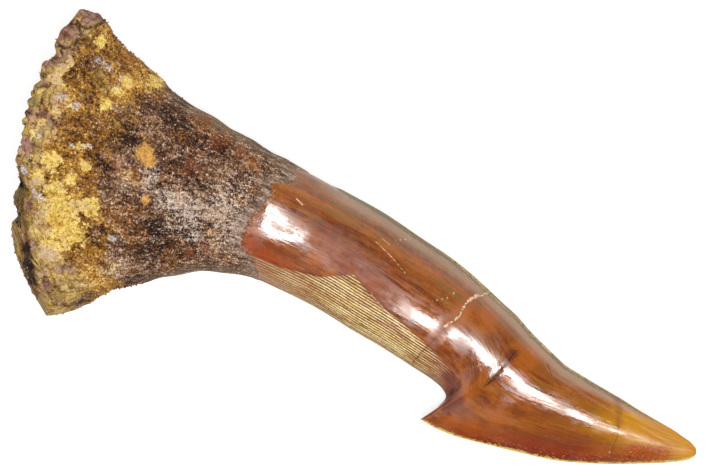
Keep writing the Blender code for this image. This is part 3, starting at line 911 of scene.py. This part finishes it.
def linear(hex_colour):
    """A colour written as sRGB hex, in linear light with full alpha."""
    parts = [int(hex_colour[index:index + 2], 16) / 255.0 for index in (1, 3, 5)]
    return tuple(part / 12.92 if part <= 0.04045 else ((part + 0.055) / 1.055) ** 2.4
                 for part in parts) + (1.0,)


class Skin:
    """The nodes of a finish, with the facts and patterns that they read kept by name."""

    def __init__(self, tree):
        self.tree = tree
        self.kept = {}


def add(skin, kind, *values, named=None, stops=(), output=None, **settings):
    """Add a node with its settings; values and links fill its sockets in order, or by name.

    A value is a number, a colour in hex, a socket, or the name of a socket that the skin keeps.
    """
    node = skin.tree.nodes.new("ShaderNode" + kind)
    for name, value in settings.items():
        setattr(node, name, value)
    while len(stops) > len(node.color_ramp.elements if stops else ()):
        node.color_ramp.elements.new(1.0)
    for index, (place, colour) in enumerate(stops):
        node.color_ramp.elements[index].position = place
        node.color_ramp.elements[index].color = linear(colour)
    filled = list(zip([socket for socket in node.inputs if socket.enabled], values))
    filled += [(node.inputs[name], value) for name, value in (named or {}).items()]
    for socket, value in filled:
        value = skin.kept.get(value, value) if isinstance(value, str) else value
        if isinstance(value, bpy.types.NodeSocket):
            skin.tree.links.new(value, socket)
        else:
            socket.default_value = linear(value) if isinstance(value, str) else value
    if output:
        return node.outputs[output]
    return next((socket for socket in node.outputs if socket.enabled), None)


def read_facts(skin):
    """Keep the facts that the mesh carries, as one socket each."""
    for name, parts in ATTRIBUTES.items():
        vector = add(skin, "Attribute", attribute_name=name, output="Vector")
        skin.kept.update(zip(parts, add(skin, "SeparateXYZ", vector).node.outputs))


def add_patterns(skin):
    """The noises that all finishes share: grit in space, veins drawn out along the tooth."""
    place = add(skin, "TexCoord", output="Object")
    position = add(skin, "VectorMath", place, 1.0 / MM, operation="SCALE")
    rod = add(skin, "Attribute", attribute_name="rod", output="Vector")
    veins = add(skin, "VectorMath", rod, VEIN_STRETCH, operation="MULTIPLY")
    fibres = add(skin, "VectorMath", rod, FIBRE_STRETCH, operation="MULTIPLY")
    cells = add(skin, "TexVoronoi", position, 1.0 / GRAIN)
    specks = add(skin, "TexVoronoi", position, 1.0 / SPECK, output="Color")
    dice = add(skin, "SeparateColor", specks).node.outputs
    skin.kept.update({"position": position, "cells": cells, "red dice": dice["Red"],
                      "green dice": dice["Green"], "blue dice": dice["Blue"]})
    skin.kept["cell tint"] = add(skin, "SeparateColor", cells.node.outputs["Color"])
    for name, where, size, detail, roughness in (
            ("grit", position, 0.17, 2.0, 0.6), ("crumbs", position, CRUMB, 4.0, 0.8),
            ("clods", position, CLOD, 5.0, 0.75), ("stains", position, STAIN, 5.0, 0.7),
            ("veins", veins, 0.55, 5.0, 0.75), ("thin veins", veins, 0.24, 4.0, 0.75),
            ("growth", fibres, 0.95, 6.0, 0.65), ("fibres", fibres, 0.33, 4.0, 0.7),
            ("hairs", fibres, 0.13, 3.0, 0.65)):
        skin.kept[name] = add(skin, "TexNoise", where, 1.0 / size, detail, roughness)


def bare_skin(name):
    """A new material without a shader, and its skin with all facts and patterns."""
    material = bpy.data.materials.new(name)
    material.use_nodes = True
    material.node_tree.nodes.clear()
    skin = Skin(material.node_tree)
    read_facts(skin)
    add_patterns(skin)
    return material, skin


def stained(skin, colour, tint, where, start=0.0, end=1.0, most=1.0, share=None):
    """A colour with a stain over it, which grows from start to end of where, up to most."""
    cover = add(skin, "MapRange", where, start, end, 0.0, most)
    if share is not None:
        cover = add(skin, "Math", cover, share, operation="MULTIPLY")
    return add(skin, "Mix", cover, colour, tint, data_type="RGBA")


def layered(skin, colour, stains, share=None):
    """Stains one over another: tint, where it lies, its start and end there, and its most."""
    for stain in stains:
        colour = stained(skin, colour, *stain, share=share)
    return colour


def summed(skin, base, *terms):
    """A base, a number or a value, with others added: each term is a weight and a value."""
    for weight, value in terms:
        base = add(skin, "Math", value, weight, base, operation="MULTIPLY_ADD")
    return base


def granular_colour(skin, own_tint):
    """The granular crust: dark and purple-brown on the neck, golden brown on the base."""
    # The rise of the relief darkens its low places and lightens its high ones: painted shade.
    common = summed(skin, -1.15, (1.1, "grit"), (1.2, "clods"), (0.22, own_tint), (0.6, "rise"))
    neck_tone = summed(skin, common, (0.75, "thin veins"))
    dark = add(skin, "ValToRGB", neck_tone, stops=DARK_CRUST, output="Color")
    warm = add(skin, "ValToRGB", neck_tone, stops=WARM_CRUST, output="Color")
    warmth = summed(skin, -1.0, (1.5, "veins"), (0.4, "stains"), (0.3, "warm"), (-0.2, "gloom"))
    # Pale grey specks of dust along the neck's crest, partly painted sheen.
    dust_and_sheen_specks = summed(skin, -2.35, (0.75, "dust_and_sheen"), (2.0, "thin veins"), (1.2, "grit"),
                   (0.4, own_tint), (0.8, "blue dice"))
    neck = layered(skin, dark, (
        (warm, warmth, -0.04, 0.08), ("#74321c", "thin veins", 0.54, 0.62, 0.4),
        ("#2a1a12", "thin veins", 0.44, 0.37, 0.6), ("#cdbaab", dust_and_sheen_specks, 0.15, 0.85, 0.85)))
    on_neck = add(skin, "MapRange", "along", 6.5, 9.5, 0.0, 0.8)
    streaky = stained(skin, "#4c3626", "#a0866a", "thin veins", 0.38, 0.66)
    for edge, width in (("front", 1.0), ("back", 0.7)):
        frayed = summed(skin, -1.2, (1.0, edge), (2.4, "thin veins"))
        neck = stained(skin, neck, streaky, frayed, width, 0.4 * width, share=on_neck)
    gold = add(skin, "ValToRGB", summed(skin, common, (0.8, "crumbs")), stops=GOLD_CRUST,
               output="Color")
    gloom = summed(skin, -0.98, (1.2, "stains"), (0.45, "gloom"), (0.6, "clods"))
    gold = layered(skin, gold, (
        (dark, gloom, 0.08, 0.24, 0.8), ("#cf9a34", "clods", 0.54, 0.62, 0.5),
        ("#7e4416", "thin veins", 0.56, 0.64, 0.5)))
    spread = summed(skin, -4.7, (1.0, "ochre"), (6.0, "stains"), (3.4, "crumbs"))
    return stained(skin, neck, gold, spread, -0.45, 0.45)


def specked(skin, colour):
    """Sand too fine to model: bright quartz specks, partly painted glints, and dark iron specks."""
    # The specks are densest on the dark neck; the bright ones are partly painted glints.
    bright = summed(skin, -1.1, (1.0, "red dice"), (0.9, "crumbs"), (1.3, "thin veins"),
                    (0.15, "dust_and_sheen"), (-0.012, "ochre"))
    dark = summed(skin, -0.5, (1.0, "green dice"), (1.0, "clods"))
    return layered(skin, colour, (
        ("#2a160c", dark, 0.82, 0.97, 0.55), ("#ead6c0", bright, 0.95, 1.15, 0.75),
        ("#dba04a", "blue dice", 0.9, 0.98, 0.3)))


def layer_lines(skin):
    """Thin wavering lines that run along the rim, 1 on a line."""
    depth = summed(skin, "layers", (0.7, "clods"))
    layer = add(skin, "Math", depth, LAYER_DEPTH, operation="PINGPONG")
    return add(skin, "MapRange", layer, 0.07, 0.02)


def folded_colour(skin, lines):
    """The smooth folded rim crust: tan, pink and olive swells, with painted shade in thin creases."""
    bend = add(skin, "TexNoise", "position", 1.0 / SWELL_BEND, 2.0, 0.6, output="Color")
    bent = add(skin, "VectorMath", bend, (1.6, 1.6, 1.6), "position", operation="MULTIPLY_ADD")
    swells = add(skin, "TexVoronoi", bent, 1.0 / SWELL_SIZE)
    dice = add(skin, "SeparateColor", swells.node.outputs["Color"]).node.outputs
    rim = add(skin, "TexVoronoi", bent, 1.0 / SWELL_SIZE, feature="DISTANCE_TO_EDGE")
    # Here too the rise darkens the low places: painted shade in the hollows.
    tone = summed(skin, -0.57, (0.7, "crumbs"), (0.7, "thin veins"), (0.5, "rise"),
                  (0.3, dice["Red"]), (0.5, "grit"))
    folded = add(skin, "ValToRGB", tone, stops=FOLDED_CRUST, output="Color")
    # The dark edges of the swells are painted shade in the creases between them.
    folded = layered(skin, folded, (
        ("#c39c8c", dice["Green"], 0.5, 0.75, 0.75), ("#80703a", dice["Blue"], 0.68, 0.85, 0.6),
        ("#dcba50", "clods", 0.54, 0.62, 0.6), ("#452b10", rim, 0.1, 0.02, 0.45)))
    depth = summed(skin, "layers", (0.7, "clods"), (0.8, "crumbs"))
    layer = add(skin, "Math", depth, 1.2 * LAYER_DEPTH, operation="PINGPONG")
    near_rim = add(skin, "MapRange", "layers", 1.8, 0.9, 0.0, 0.45)
    folded = layered(skin, folded, (
        ("#86635a", layer, 0.22, 0.29), ("#c9a53c", layer, 0.1, 0.03)), share=near_rim)
    return stained(skin, folded, "#4c3112", lines, most=0.65)


def yellow_colour(skin):
    """The yellow crumbs: pale in their middle and golden brown between, pinkish here and there."""
    body = summed(skin, -0.78, (1.7, "crumbs"), (0.9, "clods"))
    yellow = add(skin, "ValToRGB", body, stops=YELLOW_CRUST, output="Color")
    pinkish = summed(skin, -0.1, (0.16, "folded"), (0.5, "stains"), (0.5, "thin veins"))
    pinholes = summed(skin, "green dice", (0.5, "clods"))
    return layered(skin, yellow, (
        ("#dca25c", "clods", 0.55, 0.66, 0.55), ("#c2a696", pinkish, 0.46, 0.54, 0.7),
        ("#97702c", "grit", 0.42, 0.35, 0.6), ("#6b4a1c", pinholes, 1.16, 1.22, 0.7)))


def patched(skin, colour, lines, ragged):
    """The crust's single patches, each with a frayed edge."""
    purple = layered(skin, "#5e302a", (
        ("#ae8478", "thin veins", 0.4, 0.62), ("#38201a", lines, 0.5, 1.0, 0.6)))
    bright = summed(skin, -0.25, (1.0, "crumbs"), (0.5, "grit"))
    orange = stained(skin, "#8f5420", "#eab460", bright, 0.3, 0.62)
    pale = stained(skin, "#8f7f78", "#ece2d6", "grit", 0.4, 0.6)
    # The crease stain is painted shade: dark rings round the rim's pebbles, the creases between its
    # lobes and the pits of the base face.
    for name, tint, start, end, most, fray in (
            ("green", "#70694a", 0.45, 0.8, 0.65, 1.1), ("purple", purple, 0.35, 0.6, 0.9, 1.1),
            ("rust", "#86421a", 0.5, 1.0, 0.5, 1.1), ("orange", orange, 0.35, 0.65, 0.85, 0.55),
            ("crease", "#38200c", 0.3, 0.7, 0.85, 1.1), ("yellow", "#bb8c38", 0.2, 0.4, 0.7, 1.1),
            ("yellow", yellow_colour(skin), 0.38, 0.52, 0.95, 1.1),
            ("pale", pale, 0.3, 0.85, 0.8, 1.1)):
        near = add(skin, "MapRange", name, 0.02, 0.15, -1.0, 0.0)
        where = summed(skin, near, (1.0, name), (fray, ragged))
        colour = stained(skin, colour, tint, where, start, end, most)
    return colour


def crust_colour(skin, own_tint):
    """Colours of the whole crust; own_tint lightens or darkens each grain by itself."""
    lines = layer_lines(skin)
    ragged = summed(skin, -1.9, (2.2, "crumbs"), (1.6, "clods"))
    smooth = summed(skin, "folded", (0.8, ragged))
    colour = specked(skin, granular_colour(skin, own_tint))
    colour = stained(skin, colour, folded_colour(skin, lines), smooth, 0.35, 0.65, 0.9)
    colour = patched(skin, colour, lines, ragged)
    on_face = add(skin, "MapRange", "along", -0.3, -0.9)
    colour = layered(skin, colour, (
        ("#6e3408", "thin veins", 0.5, 0.62, 0.7), ("#ae8426", "clods", 0.48, 0.58, 0.8)),
        share=on_face)
    # Painted shade on the base face: darker towards its rim and in its creases and pits, broken up by
    # ragged noise.
    shade = summed(skin, 0.45, (-0.25, "layers"), (2.4, ragged), (1.2, "crease"))
    shade = add(skin, "Math", shade, on_face, operation="MULTIPLY")
    return stained(skin, colour, "#1c0f06", shade, 0.3, 1.1, 0.95)


def tip_colour(skin, colour, mottle):
    """Gold to the tip, a red patch, and a thin yellow edge behind the barb that is partly painted
    glow.
    """
    low = add(skin, "MapRange", "back", 3.4, 1.6, 0.0, 3.8)
    place = summed(skin, "along", (3.0, mottle), (-1.0, low))
    colour = layered(skin, colour, (
        ("#a0600f", place, 41.5, 49.5, 0.5), ("#c48408", place, 47.0, 50.5, 0.9)))
    reddish = low
    for start, end, least, most in ((50.3, 48.3, 0.0, 0.5), (42.5, 46.0, 0.1, 1.0)):
        share = add(skin, "MapRange", "along", start, end, least, most)
        reddish = add(skin, "Math", reddish, share, operation="MULTIPLY")
    colour = stained(skin, colour, "#7c3414", reddish, 0.0, 1.8)
    beyond = summed(skin, "along", (-0.7, low))
    at_tip = add(skin, "MapRange", beyond, 47.5, 50.5, 0.0, 0.32)
    colour = layered(skin, colour, (
        ("#955c10", "veins", 0.52, 0.6), ("#e0aa20", "veins", 0.47, 0.4)), share=at_tip)
    near_edge = summed(skin, "back", (0.8, mottle))
    before_end = add(skin, "MapRange", "along", 53.0, 56.0, 1.0, 0.0)
    past_barb = add(skin, "MapRange", "along", 39.5, 43.0)
    past_barb = add(skin, "Math", past_barb, before_end, operation="MULTIPLY")
    colour = layered(skin, colour, (
        ("#8f300d", near_edge, 1.9, 0.8, 0.7), ("#6c1e08", near_edge, 0.9, 0.4, 0.4)),
        share=past_barb)
    on_barb = add(skin, "MapRange", "along", 38.4, 39.4)
    # The yellow of the thin edge is partly painted glow of light shining through the thin enamel.
    colour = stained(skin, colour, "#d9ba66", near_edge, 0.22, 0.12, share=on_barb)
    speckled = add(skin, "MapRange", near_edge, 1.3, 0.6, 0.0, 0.6)
    speckled = add(skin, "Math", speckled, past_barb, operation="MULTIPLY")
    return layered(skin, colour, SPECKLES, share=speckled)


def margin_colour(skin, colour, mottle):
    """The grey translucent margin of the cap, partly painted reflection, with its crumbly olive keel.
    """
    on_keel = add(skin, "MapRange", "along", KEEL_START - 1.5, KEEL_START + 1.5)
    before_tip = add(skin, "MapRange", "along", 50.0, 54.0, 1.0, 0.0)
    on_keel = add(skin, "Math", on_keel, before_tip, operation="MULTIPLY")
    narrowing = add(skin, "MapRange", "along", 44.0, 53.0, 1.0, 3.0)
    narrowed = add(skin, "Math", "front", narrowing, operation="MULTIPLY")
    from_edge = summed(skin, narrowed, (0.45, mottle), (0.5, "fibres"))
    paler = add(skin, "MapRange", "along", 27.0, 29.5, 0.0, 0.14)
    edge = stained(skin, "#6f6430", "#d9b27c", summed(skin, paler, (1.0, "crumbs")), 0.6, 0.68, 0.9)
    # The two grey stains nearest the edge are partly a painted reflection of the pale surroundings.
    return layered(skin, colour, (
        ("#a98a70", from_edge, MARGIN_END + 0.45, MARGIN_END - 0.15, 0.6),
        ("#8d7458", from_edge, 0.75, 0.5, 0.5), ("#4e3516", from_edge, 0.44, 0.38, 0.5),
        (edge, from_edge, 0.33, 0.27, 0.95)), share=on_keel)


def enamel_colour(skin):
    """Colours of the enamel: red-brown growth streaks, olive ones towards the front edge."""
    mottle = summed(skin, -0.5, (1.0, "crumbs"))
    colour = add(skin, "ValToRGB", "growth", stops=ENAMEL_STREAKS, output="Color")
    colour = layered(skin, colour, (
        ("#ac5c18", "clods", 0.52, 0.64, 0.5), ("#5f2a10", "clods", 0.46, 0.34, 0.55),
        ("#b06a1e", "fibres", 0.55, 0.66, 0.55), ("#47220b", "fibres", 0.45, 0.36, 0.6),
        ("#a8743c", "hairs", 0.58, 0.7, 0.45), ("#3c1c08", "hairs", 0.42, 0.33, 0.45)))
    upper = add(skin, "MapRange", "front", 4.2, 1.8, 0.0, 0.75)
    colour = stained(skin, colour, "#6a5018", "fibres", 0.5, 0.58, share=upper)
    for name, start, most, tint in (
            ("mauve", 0.2, 0.5, "#78382a"), ("amber", 0.25, 0.85, "#a5560f")):
        where = summed(skin, -0.4, (1.0, name), (1.2, mottle), (0.8, "veins"))
        colour = stained(skin, colour, tint, where, start, 0.9, most)
    colour = tip_colour(skin, colour, mottle)
    rusty = summed(skin, -1.1, (1.0, "rust"), (1.2, mottle), (1.4, "veins"), (0.8, "grit"))
    colour = stained(skin, colour, "#a03e10", rusty, 0.15, 0.95, 0.8)
    at_tip = add(skin, "MapRange", "along", 46.0, 50.0, 0.0, 0.7)
    at_tip = add(skin, "Math", at_tip, "rust", operation="MULTIPLY")
    colour = layered(skin, colour, SPECKLES, share=at_tip)
    return margin_colour(skin, colour, mottle)


def band_colour(skin, wave):
    """Colours of the striated band: pale golden ridges between red-brown grooves."""
    ribs = add(skin, "Math", wave, "fibres", operation="MULTIPLY")
    height = summed(skin, -0.33, (0.55, ribs), (0.8, "veins"), (0.3, "hairs"), (0.5, "grit"))
    colour = add(skin, "ValToRGB", height, stops=BAND_RIDGES, output="Color")
    return layered(skin, colour, (
        ("#a8922c", "crumbs", 0.52, 0.66, 0.4), ("#8c3c22", "veins", 0.48, 0.36, 0.6),
        ("#7c2410", "along", 30.0, 35.5, 0.85), ("#8e4c34", "along", 24.0, 16.5, 0.75)))


def lined(skin, colour):
    """Cement-filled cracks, scratches and hairlines laid over the enamel, wavering and beaded."""
    beads = add(skin, "MapRange", "grit", 0.4, 0.65)
    dark = summed(skin, "dark_lines", (0.5, beads))
    colour = stained(skin, colour, "#44220f", dark, 2.0, 0.8, 0.8)
    waver = summed(skin, -0.2, (0.24, "crumbs"), (0.16, "grit"))
    from_middle = add(skin, "Math", summed(skin, -STEP_MIDDLE, (1.0, "height")),
                      operation="ABSOLUTE")
    filled, empty, granules, at_step, smudge, hairline = [
        add(skin, "MapRange", where, start, end) for where, start, end in (
            ("height", CEMENT_END - 0.2, CEMENT_END + 0.2),
            ("height", CEMENT_END + 0.2, CEMENT_END - 0.2), ("grit", 0.46, 0.54),
            (from_middle, 2.0, 1.5), ("height", -2.2, -1.4), ("height", -0.9, -1.4))]
    granules = add(skin, "Math", granules, filled, operation="MULTIPLY")
    for name, tint, outer, inner, most, shown in (
            ("cement_crack", "#6b3413", 0.2, 0.08, 0.5, filled),
            ("cement_crack", "#e6c39a", 0.12, 0.07, 0.95, granules),
            ("cement_crack", "#3c1c0c", 0.07, 0.02, 0.7, empty),
            ("step_crack", "#5a2a10", 0.45, 0.05, 0.5, at_step),
            ("step_crack", "#33150a", 0.11, 0.04, 0.7, at_step),
            ("tip_crack", "#7a4420", 0.45, 0.05, 0.5, smudge),
            ("tip_crack", "#3a1a0c", 0.06, 0.02, 0.55, hairline)):
        away = add(skin, "Math", summed(skin, waver, (1.0, name)), operation="ABSOLUTE")
        colour = stained(skin, colour, tint, away, outer, inner, most, share=shown)
    # The pale lines are cement and scratches, some partly painted highlights along thin ridges.
    pale = summed(skin, "pale_lines", (0.75, beads))
    return stained(skin, colour, "#e2bb90", pale, 2.2, 1.1, 0.9)


def tooth_colour(skin, wave, in_band, lip, on_crust):
    """The cap's colours with the band, the notch and the lines, and the crust drawn over them."""
    colour = stained(skin, enamel_colour(skin), band_colour(skin, wave), in_band)
    notch = summed(skin, -0.3, (1.0, "gloom"), (0.6, "thin veins"))
    colour = lined(skin, stained(skin, colour, "#6a2813", notch, 0.15, 0.7, 0.85))
    # A thin dark line along the crust's edge: painted shadow under its raised lip.
    lip_shadow = add(skin, "Math", summed(skin, 0.07, (1.0, lip)), operation="ABSOLUTE")
    dusting = summed(skin, -1.3, (0.5, "crust"), (1.0, "red dice"), (1.0, "crumbs"))
    colour = layered(skin, colour, (
        ("#4a2614", lip_shadow, 0.13, 0.03, 0.4), ("#c4a48c", dusting, -0.3, 0.3, 0.7)))
    film = stained(skin, "#5f4030", "#b89d88", "thin veins", 0.4, 0.62)
    thin = summed(skin, "crust", (0.8, "clods"))
    crust = stained(skin, crust_colour(skin, "cell tint"), film, thin, 1.9, 0.7, 0.65)
    return stained(skin, colour, crust, on_crust)


def tooth_roughness(skin, in_band, on_crust):
    """Polished enamel, duller where it is hazy, worn or frosted by the crack, and dull crust."""
    rough = summed(skin, add(skin, "MapRange", "polish", 0.15, 0.55, SATIN, POLISHED),
                   (0.15, in_band))
    hazy = summed(skin, -0.75, (1.0, "mauve"), (1.5, "fibres"))
    worn = summed(skin, -0.5, (1.0, "veins"), (1.0, "stains"))
    from_crack = add(skin, "Math", "cement_crack", operation="ABSOLUTE")
    for where, start, end, most in ((hazy, 0.15, 0.75, 0.36), ("along", 50.0, 51.5, 0.2),
                                    (worn, 0.48, 0.62, 0.2), (from_crack, 0.8, 0.15, 0.35)):
        rough = summed(skin, rough, (1.0, add(skin, "MapRange", where, start, end, 0.0, most)))
    return add(skin, "Mix", on_crust, rough, CRUST_ROUGHNESS, data_type="FLOAT")


def tooth_bump(skin, wave, in_band, on_crust):
    """Relief too fine for the mesh, in millimetres: single grains, striae and polishing hairs."""
    bare_crust = summed(skin, on_crust, (-0.7, "folded"))
    grains = add(skin, "MapRange", "cells", 0.0, 0.7, 0.06, 0.0)
    grains = add(skin, "Math", grains, bare_crust, operation="MULTIPLY")
    ridge = add(skin, "Math", wave, in_band, operation="MULTIPLY")
    height = summed(skin, grains, (0.014, ridge), (0.008, "hairs"), (0.009, "fibres"),
                    (0.003, "grit"))
    return add(skin, "Bump", named={"Height": height, "Distance": MM, "Strength": 1.0})


def tooth_material(name, specular):
    """The tooth's colours and gloss; the crust and the enamel differ in how much they shine."""
    material, skin = bare_skin(name)
    striae = summed(skin, 0.0, (2.0 * math.pi, "phase"), (1.6 * math.pi, "growth"))
    wave = add(skin, "Math", striae, operation="COSINE")
    in_band = add(skin, "MapRange", "band", -0.05, 0.08)
    lip = summed(skin, -0.95, (1.0, "crust"), (1.1, "crumbs"), (0.8, "clods"))
    on_crust = add(skin, "MapRange", lip, -0.06, 0.04)
    shader = add(skin, "BsdfPrincipled", named={
        "Base Color": tooth_colour(skin, wave, in_band, lip, on_crust),
        "Roughness": tooth_roughness(skin, in_band, on_crust),
        "IOR": APATITE_IOR, "Specular IOR Level": specular,
        "Normal": tooth_bump(skin, wave, in_band, on_crust)})
    add(skin, "OutputMaterial", shader)
    return material


def sand_material():
    """Quartz sand stained by iron: small glassy grains in the colours of the crust round them."""
    material, skin = bare_skin("iron_stained_quartz_sand")
    tint = add(skin, "Attribute", attribute_name="tint", output="Vector")
    dice = add(skin, "SeparateXYZ", tint).node.outputs
    colour = crust_colour(skin, summed(skin, -0.1, (1.2, dice[0])))
    # A few pale quartz grains, partly painted glints.
    colour = stained(skin, colour, "#e8d6bc", dice[1], 0.955, 0.965, 0.6)
    rough = add(skin, "MapRange", dice[2], 0.0, 1.0, *SAND_ROUGHNESS)
    shader = add(skin, "BsdfPrincipled", named={
        "Base Color": colour, "Roughness": rough, "IOR": QUARTZ_IOR,
        "Specular IOR Level": SAND_SPECULAR})
    add(skin, "OutputMaterial", shader)
    return material


def picture_axes():
    """Directions in the scene of the picture's right, its top, and the way to the camera."""
    lean = math.radians(PICTURE_TURN)
    turn = tooth_turn()
    right = turn @ Vector((math.cos(lean), math.sin(lean), 0.0))
    top = turn @ Vector((-math.sin(lean), math.cos(lean), 0.0))
    return right, top, turn @ Vector((0.0, 0.0, 1.0))


def set_up(name, data, direction, distance, right, up):
    """Place a camera or a light in a direction from the picture's middle, looking back at it."""
    middle = (tooth_turn() @ Vector(PICTURE_MIDDLE) + Vector(REST_PLACE)) * MM
    turn = Matrix((right, up, direction)).transposed().to_4x4()
    thing = bpy.data.objects.new(name, data)
    thing.matrix_world = Matrix.Translation(middle + direction * distance) @ turn
    bpy.context.collection.objects.link(thing)
    return thing


def set_camera():
    """A long lens straight above the tooth's side, as in the photograph."""
    right, top, towards = picture_axes()
    data = bpy.data.cameras.new("camera")
    data.lens = LENS
    data.sensor_width = SENSOR
    data.clip_start = CLIP_START
    distance = LENS * PICTURE_WIDTH * PIXEL / SENSOR * MM
    bpy.context.scene.camera = set_up("camera", data, towards, distance, right, top)


def soft_light(name, direction, distance, size, radiance):
    """A soft box that faces the tooth: direction as right, top and towards the camera."""
    axes = picture_axes()
    away = sum((axis * part for axis, part in zip(axes, direction)), Vector()).normalized()
    data = bpy.data.lights.new(name, "AREA")
    data.shape = "RECTANGLE"
    data.size, data.size_y = size
    data.energy = radiance * math.pi * size[0] * size[1]
    side = (axes[0] - away * axes[0].dot(away)).normalized()
    set_up(name, data, away, distance, side, away.cross(side))


def set_walls():
    """Pale walls all round: dim as a light, bright as a backdrop."""
    world = bpy.data.worlds.new("pale_walls")
    world.use_nodes = True
    skin = Skin(world.node_tree)
    seen = add(skin, "LightPath", output="Is Camera Ray")
    backdrop = skin.tree.nodes["Background"].inputs
    backdrop["Color"].default_value = WHITE
    skin.tree.links.new(add(skin, "MapRange", seen, 0.0, 1.0, WALL_LIGHT, WALL_SEEN),
                        backdrop["Strength"])
    bpy.context.scene.world = world
    bpy.context.scene.view_settings.view_transform = "Standard"


def set_floor():
    """A plain white floor, matt card lit a little from below."""
    corners = [(x * FLOOR_HALF, y * FLOOR_HALF, 0.0)
               for x, y in ((-1, -1), (1, -1), (1, 1), (-1, 1))]
    floor = new_piece("floor", corners, [(0, 1, 2, 3)])
    floor.location.z = -FLOOR_DROP
    material = bpy.data.materials.new("white_card")
    material.use_nodes = True
    sockets = material.node_tree.nodes["Principled BSDF"].inputs
    for name, value in (("Base Color", CARD), ("Roughness", CARD_ROUGHNESS), ("Emission Color", WHITE),
                        ("Emission Strength", CARD_GLOW)):
        sockets[name].default_value = value
    floor.data.materials.append(material)


set_camera()
for soft_box in SOFT_BOXES:
    soft_light(*soft_box)
set_walls()
set_floor()
tooth, tooth_rings, tooth_facts = build_tooth()
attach(tooth, "root")
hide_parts("rostral_tooth")
sand_grains = build_grains(tooth_rings, tooth_facts)
sand_grains.data.materials.append(sand_material())
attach(sand_grains, "root")
